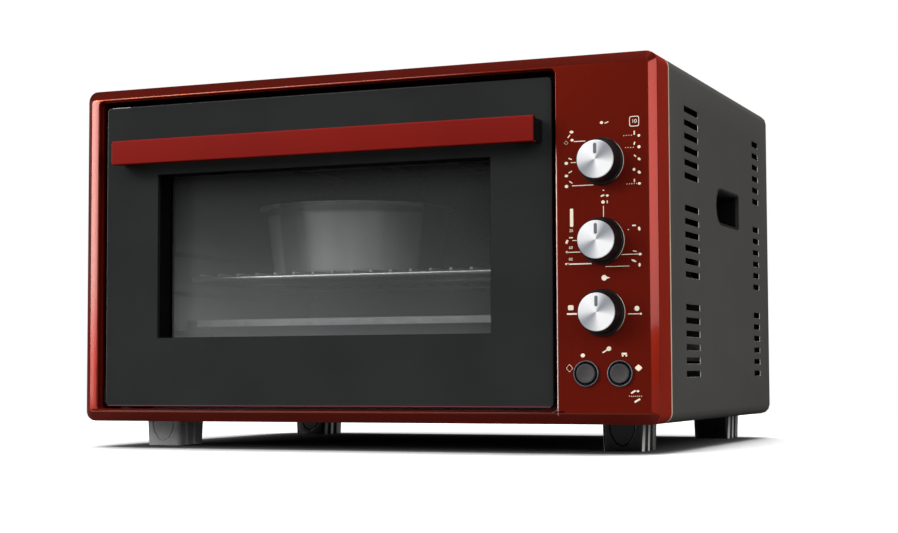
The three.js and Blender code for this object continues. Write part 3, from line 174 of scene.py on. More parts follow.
class Nodes:
    """Writes nodes into one node tree."""

    def __init__(self, tree: bpy.types.NodeTree) -> None:
        """Start on a tree, which is emptied."""
        self.tree = tree
        tree.nodes.clear()

    def add(self, kind: str, values: dict | None = None, output: Any = None, **settings: Any) -> Signal:
        """Add a node, set it up and feed its sockets.

        Args:
            kind: Blender's type name of the node.
            values: Numbers, colours or signals by socket name or number.
            output: Name or number of the wanted output, or None for the first enabled one.
            settings: The node's own properties, which are set first.

        Returns:
            The wanted output.
        """
        node = self.tree.nodes.new(kind)
        for name, value in settings.items():
            setattr(node, name, value)
        for name, value in (values or {}).items():
            self.feed(node.inputs[name], value)
        if output is None:
            output = next(i for i, socket in enumerate(node.outputs) if socket.enabled)
        return Signal(self, node.outputs[output])

    def feed(self, socket: bpy.types.NodeSocket, value: Any) -> None:
        """Link a signal to a socket, or set the socket's own value.

        Args:
            socket: Input to feed.
            value: Signal, number, colour or vector.
        """
        if isinstance(value, Signal):
            self.tree.links.new(value.socket, socket)
        elif isinstance(value, tuple) and len(value) == 3 and socket.type == "RGBA":
            socket.default_value = (*value, 1.0)
        else:
            socket.default_value = value

    def close(self, kind: str, shader: Signal) -> None:
        """Link a shader to an output node of a material or a world."""
        output = self.tree.nodes.new(kind)
        self.tree.links.new(shader.socket, output.inputs["Surface"])

    def place(self, source: str = "Object") -> tuple[Signal, Signal, Signal, Signal]:
        """Read the point on the piece in the oven's own frame, or in the world the direction.

        Args:
            source: Which coordinates are read.

        Returns:
            The point as a vector, and its x, y and z in metres.
        """
        point = self.add("ShaderNodeTexCoord", output=source)
        parts = self.add("ShaderNodeSeparateXYZ", {0: point}).socket.node.outputs
        return (point, *(Signal(self, parts[axis]) for axis in "XYZ"))

    def noise(self, point: Signal, bumps: float | Point, detail: float) -> Signal:
        """Read a smooth random value about 0.5.

        Args:
            point: Where to read it.
            bumps: Bumps in a metre, the same all round or along x, y and z.
            detail: Finer layers.

        Returns:
            The value.
        """
        if isinstance(bumps, tuple):
            point = self.add("ShaderNodeMapping", {"Vector": point, "Scale": bumps})
            bumps = 1.0
        return self.add("ShaderNodeTexNoise", {"Vector": point, "Scale": bumps, "Detail": detail})

    def mix(self, factor: Any, first: Any, second: Any) -> Signal:
        """Blend two colours, where a factor of 0 gives the first and 1 the second."""
        values = {0: factor, 6: first, 7: second}
        return self.add("ShaderNodeMix", values, output=2, data_type="RGBA")

    def bump(self, height: Signal, depth: float) -> Signal:
        """Turn a height into a normal, where a height of 1 stands so many metres proud."""
        return self.add("ShaderNodeBump", {"Height": height, "Distance": depth, "Strength": 1.0})


# Finishes


@dataclass(frozen=True)
class Finish:
    """A surface finish: a Principled shader whose sockets a subclass works out.

    Contrast is where a random value turns from dark to light, gloss is how far it moves the
    roughness, and relief is how far it moves the surface.
    """

    name: str
    colour: Colour = (0.5, 0.5, 0.5)
    dark: Colour = (0.0, 0.0, 0.0)
    metallic: float = 0.0
    roughness: float = 0.5
    coat: float = 0.0
    coat_roughness: float = 0.06
    specular: float = 0.5
    contrast: Span = (0.3, 0.7)
    gloss: Span = (-0.05, 0.05)
    relief: float = 0.00001

    def sockets(self, nodes: Nodes) -> dict:
        """Give the sockets that differ from the plain values, by name."""
        return {}

    def two_tone(self, nodes: Nodes, shade: Signal) -> Signal:
        """Blend the dark colour into the light one."""
        return nodes.mix(shade, self.dark, self.colour)

    def rough(self, wear: Signal) -> Signal:
        """Vary the roughness with a value of 0 to 1, between the two ends of the gloss."""
        return wear.between(*(self.roughness + end for end in self.gloss))

    def material(self) -> bpy.types.Material:
        """Build the material once and return it.

        Returns:
            The material.
        """
        name = f"finish_{self.name}"
        made = bpy.data.materials.get(name)
        if made is None:
            made = bpy.data.materials.new(name)
            made.use_nodes = True
            nodes = Nodes(made.node_tree)
            values = {
                "Base Color": self.colour, "Metallic": self.metallic, "Roughness": self.roughness,
                "Coat Weight": self.coat, "Coat Roughness": self.coat_roughness,
                "Specular IOR Level": self.specular,
            }
            values.update(self.sockets(nodes))
            nodes.close("ShaderNodeOutputMaterial", nodes.add("ShaderNodeBsdfPrincipled", values))
            made.diffuse_color = (*self.colour, 1.0)
        return made


@dataclass(frozen=True)
class Grained(Finish):
    """A finish with a fine grain over slow clouds.

    Both share in the colour, and the grain alone sets the roughness and the relief.
    """

    grain: Pattern = (900.0, 2.0)
    grain_share: float = 0.6
    clouds: Pattern = (11.0, 3.0)
    gloss: Span = (-0.08, 0.08)
    relief: float = 0.00006

    def sockets(self, nodes: Nodes) -> dict:
        """Give the finish its colour, roughness and normal.

        Args:
            nodes: Writer of the material's nodes.

        Returns:
            Sockets by name.
        """
        point, _, _, _ = nodes.place()
        grain, clouds = nodes.noise(point, *self.grain), nodes.noise(point, *self.clouds)
        shade = grain * self.grain_share + clouds * (1.0 - self.grain_share)
        return {
            "Base Color": self.two_tone(nodes, shade.step(*self.contrast)),
            "Roughness": self.rough(grain),
            "Normal": nodes.bump(grain, self.relief),
        }


@dataclass(frozen=True)
class Lacquer(Grained):
    """Tinted lacquer over brushed sheet: fine upright streaks and slow clouds of depth."""

    grain: Pattern = ((1300.0, 1300.0, 7.0), 2.0)
    grain_share: float = 0.3
    clouds: Pattern = (7.0, 2.0)
    gloss: Span = (-0.03, 0.03)
    relief: float = 0.000006


@dataclass(frozen=True)
class FrontLacquer(Lacquer):
    """The red front's lacquer: polished at the front and plain paint on the sides.

    The polish is a metal lustre under a clear coat. Painted highlights run where the bevels meet
    the face, up the left rail, paler towards its top, and down the lower part of the recess's
    right lip, and painted shade darkens the recess round the door. Depths count from where the
    polish ends.
    A band is where it starts and ends and how wide its edges are, and a fade is where it
    starts and ends and how much it takes away.
    """

    front: float = 0.0
    side: Colour = (0.4, 0.02, 0.01)
    side_depth: Span = (0.0, 0.0015)
    side_metal: float = 0.1
    side_rough: float = 0.3
    bevels: Span = (0.034, 0.331)
    bevel_rise: Span = (-0.0002, 0.0004)
    bevel_metal: float = 0.94
    # Painted shade colour in the recess round the door; the flat face is also toned partly towards it.
    shadow: Colour = (0.02, 0.0005, 0.0005)
    face_depth: Span = (-0.005, -0.0046)
    face_share: float = 0.24
    sunk_depth: Span = (-0.0046, -0.004)
    deep_depth: Span = (-0.0052, 0.006)
    deep_shade_share: float = 0.9
    recess_across: Point = (-0.2745, 0.2, 0.001)
    recess_up: Point = (0.0345, 0.3303, 0.0004)
    edge_band: Span = (0.0016, 0.002)
    edge_shade_share: float = 0.8
    # Painted highlight up the left rail: where it lies across, the heights over which it pales, and its
    # lower and upper colour.
    rail_highlight_across: Area = (-0.2804, -0.2686, 0.0006, 0.0004)
    rail_highlight_up: Span = (0.07, 0.17)
    rail_highlight_low: Colour = (0.27, 0.03, 0.02)
    rail_highlight_high: Colour = (0.27, 0.1, 0.085)
    rail_bare: float = 0.75
    # Painted highlight line where the bevels meet the face: its colour, width, strength and fades.
    line_highlight: Colour = (0.55, 0.2, 0.1)
    line_highlight_width: Span = (0.0002, 0.0008)
    line_highlight_share: float = 0.8
    line_highlight_fade: Point = (-0.3, 0.3, 0.8)
    line_highlight_fade_above: Point = (-0.2, -0.1, 0.35)
    # Painted highlight down the lower part of the recess's right lip: its colour, place across, width and
    # heights.
    lip: Colour = (0.9, 0.6, 0.55)
    lip_highlight_across: float = 0.1946
    lip_highlight_width: Span = (0.0002, 0.0007)
    lip_highlight_up: Span = (0.235, 0.265)

    def sockets(self, nodes: Nodes) -> dict:
        """Give the front its colour, coat, metal, roughness and normal.

        Args:
            nodes: Writer of the material's nodes.

        Returns:
            Sockets by name.
        """
        values = super().sockets(nodes)
        _, x, y, height = nodes.place()
        depth = y - self.front
        low, high = self.bevels
        past_face = (height - (low + high) / 2).absolute() - (high - low) / 2
        bevel = past_face.step(*self.bevel_rise)
        side = depth.step(*self.side_depth)
        deep = depth.step(*self.deep_depth)
        recess = x.within(*self.recess_across) * height.within(*self.recess_up)
        # Mask of the painted highlight on the left rail's face, which also takes most of the coat away
        # there.
        rail = x.within(*self.rail_highlight_across) * (1.0 - side) * (1.0 - bevel)
        coated = (1.0 - side.most(recess * deep)) * (1.0 - rail * self.rail_bare)
        values["Coat Weight"] = coated * self.coat
        polished = bevel.between(self.metallic, self.bevel_metal) * (1.0 - side)
        values["Metallic"] = polished + side * self.side_metal
        values["Roughness"] = values["Roughness"] + side * self.side_rough
        foot, head, _ = self.recess_up
        near, far = self.edge_band
        sunk = depth.step(*self.sunk_depth)
        # Painted shade along the recess's floor and ceiling edges.
        edges = height.drop(foot + near, foot + far).most(height.step(head - far, head - near) * sunk)
        # Mask of the painted highlight on the recess's right lip.
        lip = (x - self.lip_highlight_across).absolute().drop(*self.lip_highlight_width) * height.drop(*self.lip_highlight_up)
        # Layers in order: the flat face's darker tone, the painted highlight up the left rail, the painted
        # highlight line along the bevels, the painted highlight on the right lip, the side paint, and the
        # painted shade in the recess.
        layers = (
            (depth.drop(*self.face_depth) * self.face_share, self.shadow),
            (rail, nodes.mix(height.step(*self.rail_highlight_up), self.rail_highlight_low, self.rail_highlight_high)),
            (self.highlight_line(x, height, past_face) * (1.0 - sunk), self.line_highlight),
            (lip * (1.0 - sunk), self.lip),
            (side, self.side),
            (recess * (deep * self.deep_shade_share).most(edges * self.edge_shade_share), self.shadow),
        )
        for mask, colour in layers:
            values["Base Color"] = nodes.mix(mask, values["Base Color"], colour)
        return values

    def highlight_line(self, x: Signal, height: Signal, past_face: Signal) -> Signal:
        """Give the painted highlight line along the bevels, which fades to the right.

        Args:
            x: Place across.
            height: Height.
            past_face: How far a height is above or below the flat face.

        Returns:
            The line's strength.
        """
        start, end, loss = self.line_highlight_fade
        start_above, end_above, loss_above = self.line_highlight_fade_above
        above = height.step(*self.bevels) * x.step(start_above, end_above)
        left = 1.0 - x.step(start, end) * loss - above * loss_above
        return past_face.absolute().drop(*self.line_highlight_width) * left * self.line_highlight_share


@dataclass(frozen=True)
class GrainedPaint(Grained):
    """Powder paint with an orange-peel grain, bare where the slots cut through its sheet.

    The bare edge lies in a band behind the sheet's outside and in one up its height.
    """

    sheet: float = 0.0
    cut: Point = (0.0002, 0.0011, 0.0001)
    cut_up: Point = (0.05, 0.3, 0.001)
    bare: Colour = (0.9, 0.9, 0.9)

    def sockets(self, nodes: Nodes) -> dict:
        """Give the paint its colour, roughness and normal.

        Args:
            nodes: Writer of the material's nodes.

        Returns:
            Sockets by name.
        """
        values = super().sockets(nodes)
        _, x, _, height = nodes.place()
        cut = (self.sheet - x.absolute()).within(*self.cut) * height.within(*self.cut_up)
        values["Base Color"] = nodes.mix(cut, values["Base Color"], self.bare)
        return values


@dataclass(frozen=True)
class Moulding(Grained):
    """Moulded plastic with a very slight waviness and handling marks in its gloss."""

    grain: Pattern = (400.0, 4.0)
    grain_share: float = 0.0
    clouds: Pattern = (60.0, 2.0)
    contrast: Span = (0.35, 0.65)
    gloss: Span = (-0.06, 0.1)
    relief: float = 0.00001


@dataclass(frozen=True)
class CupMoulding(Moulding):
    """Moulded plastic of a side pocket, with painted shade that deepens inwards from its lip."""

    rim: float = 0.28
    # Painted shade inside the pocket: the depths over which it deepens, and its darkest colour.
    shade: Span = (0.0024, 0.004)
    inner: Colour = (0.002, 0.002, 0.002)

    def sockets(self, nodes: Nodes) -> dict:
        """Give the pocket its colour, roughness and normal.

        Args:
            nodes: Writer of the material's nodes.

        Returns:
            Sockets by name.
        """
        values = super().sockets(nodes)
        _, x, _, _ = nodes.place()
        # The painted shade deepens with distance inwards from the casing's side.
        depth = (self.rim - x.absolute()).step(*self.shade)
        values["Base Color"] = nodes.mix(depth, values["Base Color"], self.inner)
        return values


@dataclass(frozen=True)
class FlutedFoot(Moulding):
    """Gloss plastic of a foot, with painted highlights on the ribs between the flutes.

    A rib is its start and its end as shares of the foot's length, and its strength.
    """

    middle: float = 0.0
    half: float = 0.02
    fronts: Span = (0.0, 0.0)
    length: float = 0.04
    face: Span = (-0.0022, -0.0016)
    soft: float = 0.0008
    # Painted highlights on the ribs of the foot's sides, and their colour.
    rib_highlight_shares: tuple[Point, ...] = ((0.04, 0.17, 0.85), (0.36, 0.49, 1.0), (0.68, 0.98, 0.22))
    rib_highlight: Colour = (0.98, 0.96, 0.92)

    def sockets(self, nodes: Nodes) -> dict:
        """Give the foot its colour, roughness and normal.

        Args:
            nodes: Writer of the material's nodes.

        Returns:
            Sockets by name.
        """
        values = super().sockets(nodes)
        _, x, y, _ = nodes.place()
        side = ((x.absolute() - self.middle).absolute() - self.half).step(*self.face)
        rib_highlights = None
        for front in self.fronts:
            for start, end, strength in self.rib_highlight_shares:
                low, high = front + start * self.length, front + end * self.length
                band = y.within(low, high - self.soft, self.soft) * strength
                rib_highlights = band if rib_highlights is None else rib_highlights.most(band)
        # The painted rib highlights go only on the side faces.
        values["Base Color"] = nodes.mix(side * rib_highlights, values["Base Color"], self.rib_highlight)
        return values


@dataclass(frozen=True)
class BrushedMetal(Grained):
    """Rolled or drawn metal with streaks along one direction."""

    grain: Pattern = ((30.0, 30.0, 900.0), 3.0)
    clouds: Pattern = (25.0, 2.0)
    contrast: Span = (0.32, 0.68)
    gloss: Span = (-0.08, 0.1)
    relief: float = 0.00002


@dataclass(frozen=True)
class BandedTin(BrushedMetal):
    """Tin plate of a round pan, with painted shade in darker bands down its side and under its lip.

    Bands stand at shares of the pan's half width and of its height.
    """

    middle: Point = (0.0, 0.0, 0.0)
    radii: Span = (0.084, 0.092)
    height: float = 0.06
    turn: float = 33.0
    # Painted shade: its colour and strength, in a band down the left, over the right side and under the lip.
    tin_shade: Colour = (0.1, 0.1, 0.1)
    tin_shade_share: float = 0.6
    left_shade_shares: Area = (-0.93, -0.82, 0.04, 0.3)
    right_shade_shares: tuple[Point, ...] = ((0.2, 0.58, 0.25), (0.57, 0.63, 0.6))
    lip_shade_shares: Area = (0.82, 0.95, 0.08, 0.02)

    def sockets(self, nodes: Nodes) -> dict:
        """Give the tin its colour, roughness and normal.

        Args:
            nodes: Writer of the material's nodes.

        Returns:
            Sockets by name.
        """
        values = super().sockets(nodes)
        _, x, y, z = nodes.place()
        angle = math.radians(self.turn)
        up = (z - self.middle[2]) * (1.0 / self.height)
        across = (x - self.middle[0]) * math.cos(angle) + (y - self.middle[1]) * math.sin(angle)
        across = across / up.between(*self.radii)
        # Painted shade in the left band and under the lip, and more over the right side.
        tin_shade = across.within(*self.left_shade_shares).most(up.within(*self.lip_shade_shares)) * self.tin_shade_share
        right = 0.0
        for start, end, strength in self.right_shade_shares:
            right = across.step(start, end) * strength + right
        values["Base Color"] = nodes.mix(tin_shade.most(right), values["Base Color"], self.tin_shade)
        return values


@dataclass(frozen=True)
class Enamel(Finish):
    """Fired enamel with pale specks and slow clouds, and painted shade from a height up."""

    clouds: Pattern = (9.0, 3.0)
    pits: Pattern = (160.0, 2.0)
    speck: Colour = (0.5, 0.5, 0.5)
    speck_share: float = 0.5
    speck_contrast: Span = (0.66, 0.74)
    specks: Pattern = (1400.0, 1.0)
    # Painted shade that darkens the enamel from a height up, and where it starts and ends.
    top_shade: Colour | None = None
    top_shade_up: Span = (0.1, 0.24)
    top_shade_drift: float = 0.02
    gloss: Span = (0.08, -0.08)
    relief: float = 0.00005

    def sockets(self, nodes: Nodes) -> dict:
        """Give the enamel its colour, roughness and normal.

        Args:
            nodes: Writer of the material's nodes.

        Returns:
            Sockets by name.
        """
        point, _, _, height = nodes.place()
        clouds = nodes.noise(point, *self.clouds).step(*self.contrast)
        specks = nodes.noise(point, *self.specks).step(*self.speck_contrast)
        ground = self.two_tone(nodes, clouds)
        if self.top_shade is not None:
            # Painted shade, darker towards the top.
            shaded_top = (height + clouds * self.top_shade_drift).step(*self.top_shade_up)
            ground = nodes.mix(shaded_top, ground, self.top_shade)
        return {
            "Base Color": nodes.mix(specks * self.speck_share, ground, self.speck),
            "Roughness": self.rough(clouds),
            "Normal": nodes.bump(nodes.noise(point, *self.pits), self.relief),
        }


@dataclass(frozen=True)
class SpunCap(Finish):
    """A turned aluminium cap: rings of the tool, and the fan of light and dark they would reflect, painted
    into its colour.

    The fan and each finer wave are a number of turns, a start and a power or strength.
    """

    centre: Point = (0.0, 0.0, 0.0)
    # Painted highlight: the fan of light and dark round the axis, and finer waves on it.
    fan: Point = (2.0, 0.1, 1.8)
    highlight_waves: tuple[Point, ...] = ((7.0, 1.0, 0.04), (3.0, 0.4, 0.07))
    rings: float = 30000.0
    ring_share: float = 0.4
    relief: float = 0.00003
    wear: Pattern = (500.0, 3.0)
    notch: Colour = (0.1, 0.1, 0.1)
    notch_up: float = 0.0091
    notch_half: float = 0.0031
    notch_width: Span = (0.0012, 0.001725)

    def sockets(self, nodes: Nodes) -> dict:
        """Give the cap its colour, metal, roughness and normal.

        The painted fan of light and dark is a sum of waves of the angle round the axis. The rings are a sine
        of the distance from the axis. The notch is an upright rounded bar near the top.

        Args:
            nodes: Writer of the material's nodes.

        Returns:
            Sockets by name.
        """
        point, x, _, z = nodes.place()
        across, up = x - self.centre[0], z - self.centre[2]
        distance = (across * across + up * up).root()
        angle = up.angle_to(across)
        turns, start, power = self.fan
        shade = ((angle * turns + start).sine() * 0.5 + 0.5) ** power
        for turns, start, strength in self.highlight_waves:
            shade = shade + (angle * turns + start).sine() * strength
        # The painted highlight fan blends the light and the dark colour.
        metal = nodes.mix(shade.most(0.0).least(1.0), self.colour, self.dark)
        rings = (distance * self.rings).sine() * 0.5 + 0.5
        along = ((up - self.notch_up).absolute() - self.notch_half).most(0.0)
        notch = (along * along + across * across).root().drop(*self.notch_width)
        return {
            "Base Color": nodes.mix(notch, metal, self.notch),
            "Metallic": (1.0 - notch) * self.metallic,
            "Roughness": self.rough(nodes.noise(point, *self.wear)),
            "Normal": nodes.bump(rings * self.ring_share - notch, self.relief),
        }


@dataclass(frozen=True)
class SkirtRing(Finish):
    """A thin ring, dark but for a painted highlight at its right."""

    centre: Point = (0.0, 0.0, 0.0)
    # Where the painted highlight rises across, to the right of the axis.
    bright: Span = (0.0105, 0.0165)
    wear: Pattern = (300.0, 2.0)
    gloss: Span = (-0.05, 0.1)

    def sockets(self, nodes: Nodes) -> dict:
        """Give the ring its colour and roughness.

        Args:
            nodes: Writer of the material's nodes.

        Returns:
            Sockets by name.
        """
        point, x, _, _ = nodes.place()
        return {
            # Painted highlight on the ring's right side.
            "Base Color": self.two_tone(nodes, (x - self.centre[0]).step(*self.bright)),
            "Roughness": self.rough(nodes.noise(point, *self.wear)),
        }


@dataclass(frozen=True)
class PrintedGlass(Finish):
    """Door glass: a dark print round a clear window, and painted glints at its foot and at its top."""

    window: Area = (0.0, 0.0, 0.0, 0.0)
    clear: float = 0.1
    edge: float = 0.0006
    tint: Colour = (0.001, 0.001, 0.001)
    haze: Pattern = (14.0, 3.0)
    mottle: float = 0.86
    # Painted glints: the foot's colour and height, then the top glint's colour, place across and height.
    glint: Colour = (0.3, 0.06, 0.08)
    glint_up: Span = (0.0395, 0.0402)
    ground: Colour = (0.4, 0.4, 0.4)
    top_glint_across: Point = (-0.2575, -0.2375, 0.001)
    top_glint_up: Span = (0.3225, 0.323)
    gloss: Span = (-0.02, 0.04)

    def sockets(self, nodes: Nodes) -> dict:
        """Give the glass its print, its window and its roughness.

        Args:
            nodes: Writer of the material's nodes.

        Returns:
            Sockets by name.
        """
        point, x, _, z = nodes.place()
        left, right, low, high = self.window
        beside = (x - (left + right) / 2).absolute() - (right - left) / 2
        above = (z - (low + high) / 2).absolute() - (high - low) / 2
        inside = beside.most(above).drop(-self.edge, self.edge)
        haze = nodes.noise(point, *self.haze)
        thin = tuple(v * self.mottle for v in self.colour)
        printed = nodes.mix(haze.step(*self.contrast), thin, self.colour)
        # Painted glint along the top edge at the left.
        ground = z.step(*self.top_glint_up) * x.within(*self.top_glint_across)
        printed = nodes.mix(ground, printed, self.ground)
        printed = nodes.mix(z.step(*self.glint_up), self.glint, printed)
        return {
            "Base Color": nodes.mix(inside, printed, self.tint),
            "Alpha": 1.0 - inside * (1.0 - self.clear),
            "Roughness": self.rough(haze),
        }


@dataclass(frozen=True)
class PaleFloor(Finish):
    """A floor that is white to the camera where it is open, with a painted shadow where the oven covers it,
    and that throws little light back up.
    """

    bounce: Colour = (0.12, 0.12, 0.12)
    # Painted shadow colour where the oven covers the floor from the sky.
    under_shadow: Colour = (0.12, 0.12, 0.12)
    open_share: Span = (0.3, 0.75)
    reach: float = 0.25

    def sockets(self, nodes: Nodes) -> dict:
        """Give the floor its colour for the camera and for every other ray.

        Args:
            nodes: Writer of the material's nodes.

        Returns:
            Sockets by name.
        """
        camera = nodes.add("ShaderNodeLightPath", output="Is Camera Ray")
        # Painted shadow: the floor darkens where little of the sky is open to it.
        sky = nodes.add("ShaderNodeAmbientOcclusion", {"Distance": self.reach}, output="AO")
        seen = nodes.mix(sky.step(*self.open_share), self.under_shadow, self.colour)
        return {"Base Color": nodes.mix(camera, self.bounce, seen)}


@dataclass(frozen=True)
class HazedGlass(Finish):
    """Inner pane with a baked-on haze, which thickens towards its lower left corner as painted light over
    the view inside.

    The haze's thickness is a sum of shares of how far down a point is, squared, how far to the
    left, and both at once.
    """

    window: Area = (0.0, 1.0, 0.0, 1.0)
    alpha: float = 0.2
    spread: float = 0.2
    clouds: Pattern = (9.0, 2.0)
    drift: float = 0.3
    thickness_shares: Point = (0.45, 0.06, 0.55)
    border: Span = (0.0024, 0.0032)
    border_colour: Colour = (0.001, 0.001, 0.001)

    def sockets(self, nodes: Nodes) -> dict:
        """Give the pane its haze.

        Args:
            nodes: Writer of the material's nodes.

        Returns:
            Sockets by name.
        """
        point, x, _, z = nodes.place()
        left, right, low, high = self.window
        drift = nodes.noise(point, *self.clouds) * self.drift - self.drift / 2
        down = (z + drift * (high - low)).drop(low, high)
        across = x.drop(left, right)
        # The haze's thickening towards the lower left is painted light.
        lower, beside, corner = self.thickness_shares
        thick = down * down * lower + across * beside + down * across * corner
        thick = thick.most(0.0).least(1.0)
        border = x.drop(left + self.border[0], left + self.border[1])
        alpha = thick.between(self.alpha * (1.0 - self.spread), self.alpha * (1.0 + self.spread))
        return {
            "Base Color": nodes.mix(border, self.two_tone(nodes, thick), self.border_colour),
            "Alpha": alpha.most(border),
        }


@dataclass(frozen=True)
class ClearGlass(Finish):
    """Thin clear glass that dims what lies behind it a little."""

    alpha: float = 0.08
    spread: float = 0.3
    haze: Pattern = (30.0, 3.0)

    def sockets(self, nodes: Nodes) -> dict:
        """Give the glass its faint haze.

        Args:
            nodes: Writer of the material's nodes.

        Returns:
            Sockets by name.
        """
        point, _, _, _ = nodes.place()
        haze = nodes.noise(point, *self.haze)
        return {"Alpha": haze.between(self.alpha * (1.0 - self.spread), self.alpha * (1.0 + self.spread))}


# Surfaces


def rounded(area: Area, radius: float, spread: float = 0.0, steps: int = 6) -> np.ndarray:
    """Work out a rectangle with round corners.

    Each corner is a quarter circle about a centre one radius inside both sides.

    Args:
        area: Its left, right, low and high side.
        radius: Corner radius.
        spread: How far every side is moved outwards.
        steps: Spans in each corner.

    Returns:
        Points (4 * (steps + 1), 2), counter-clockwise.
    """
    left, right, low, high = area
    turn = np.linspace(0.0, 1.0, steps + 1)[None, :] + np.arange(4)[:, None]
    inset = radius - spread
    centre_x = np.array([right - inset, left + inset, left + inset, right - inset])[:, None]
    centre_z = np.array([high - inset, high - inset, low + inset, low + inset])[:, None]
    angle = turn * math.pi / 2
    corners = np.stack([centre_x + radius * np.cos(angle), centre_z + radius * np.sin(angle)], -1)
    return corners.reshape(-1, 2)


def filleted(corners: Sequence[Point], steps: int = 4, closed: bool = False) -> np.ndarray:
    """Round the corners of a line in a plane.

    At each corner the line leaves both legs at the tangent length r * tan(turn / 2), and a
    quadratic blend of the corner and the two tangent points stands in for the arc.

    Args:
        corners: Both places of each corner point, and the rounding there.
        steps: Spans in each rounding.
        closed: Whether the last point joins the first.

    Returns:
        Points (n, 2).
    """
    points = np.array(corners, float)[:, :2]
    last = len(points) - 1
    blend = np.linspace(0.0, 1.0, steps + 1)[:, None]
    parts = []
    for index, (_, _, radius) in enumerate(corners):
        here = points[index]
        if radius <= 0 or (not closed and index in (0, last)):
            parts.append(here[None, :])
            continue
        back = points[index - 1] - here
        ahead = points[0 if index == last else index + 1] - here
        long_back, long_ahead = np.linalg.norm(back), np.linalg.norm(ahead)
        cosine = float(np.clip(back @ ahead / (long_back * long_ahead), -1.0, 1.0))
        reach = min(radius / max(math.tan(math.acos(cosine) / 2), 1e-6), long_back / 2, long_ahead / 2)
        start, end = here + back / long_back * reach, here + ahead / long_ahead * reach
        parts.append((1 - blend) ** 2 * start + 2 * blend * (1 - blend) * here + blend ** 2 * end)
    return np.concatenate(parts)


def banded(index: np.ndarray, closed: bool = False) -> list[list[int]]:
    """Join neighbouring rings of point numbers with four-sided faces.

    Point (i, j) joins (i, j + 1), (i + 1, j + 1) and (i + 1, j) in one face.

    Args:
        index: Point numbers (rings, points on a ring).
        closed: Whether the last ring joins the first.

    Returns:
        Point numbers of each face.
    """
    near, far = (index, np.roll(index, -1, 0)) if closed else (index[:-1], index[1:])
    corners = [near, np.roll(near, -1, 1), np.roll(far, -1, 1), far]
    return np.stack(corners, -1).reshape(-1, 4).tolist()


def tube_points(path: np.ndarray, radius: float, sides: int, closed: bool = False) -> np.ndarray:
    """Work out rings of points round a path.

    Directions are the differences of neighbours. The first side axis is the cross product of
    the direction with the coordinate axis that the whole path bends round least.

    Args:
        path: Points (n, 3).
        radius: Ring radius.
        sides: Points on each ring.
        closed: Whether the path's ends join.

    Returns:
        Rings (n, sides, 3).
    """
    if closed:
        along = np.roll(path, -1, 0) - np.roll(path, 1, 0)
    else:
        along = np.gradient(path, axis=0)
    along /= np.linalg.norm(along, axis=1, keepdims=True)
    reference = np.eye(3)[int(np.argmin(np.abs(along).max(0)))]
    first = np.cross(along, reference)
    first /= np.linalg.norm(first, axis=1, keepdims=True)
    second = np.cross(along, first)
    turn = np.linspace(0, FULL_TURN, sides, endpoint=False)[None, :, None]
    ring = np.cos(turn) * first[:, None, :] + np.sin(turn) * second[:, None, :]
    return path[:, None, :] + radius * ring


def link_object(name: str, data: bpy.types.ID) -> bpy.types.Object:
    """Put a mesh, a curve, a lamp or a camera into the scene.

    Args:
        name: The object's name.
        data: The mesh, curve, lamp or camera.

    Returns:
        The object.
    """
    made = bpy.data.objects.new(name, data)
    bpy.context.scene.collection.objects.link(made)
    return made


@contextmanager
def editing(data: bpy.types.Mesh) -> Iterator[bmesh.types.BMesh]:
    """Open a mesh for editing, and write it back afterwards.

    Args:
        data: The mesh.

    Yields:
        The mesh in its editable form.
    """
    work = bmesh.new()
    work.from_mesh(data)
    yield work
    work.to_mesh(data)
    work.free()


@dataclass
class Pile:
    """Loose shapes that are gathered into one mesh."""

    points: list[np.ndarray] = field(default_factory=list)
    faces: list[list[int]] = field(default_factory=list)

    def add(self, rings: np.ndarray, ends: bool = True) -> None:
        """Add rings of points, joined by bands.

        Args:
            rings: Points (rings, points on a ring, 3), in metres.
            ends: Whether the first and the last ring are filled.
        """
        start = sum(len(part) for part in self.points)
        index = start + np.arange(rings.shape[0] * rings.shape[1]).reshape(rings.shape[:2])
        self.points.append(rings.reshape(-1, 3))
        self.faces += banded(index)
        if ends:
            self.faces += [index[k].tolist() for k in sorted({0, len(rings) - 1})]

    def skin(self, piece: "Piece") -> bpy.types.Object:
        """Make a piece of everything that was gathered."""
        return piece.mesh(np.concatenate(self.points), self.faces)


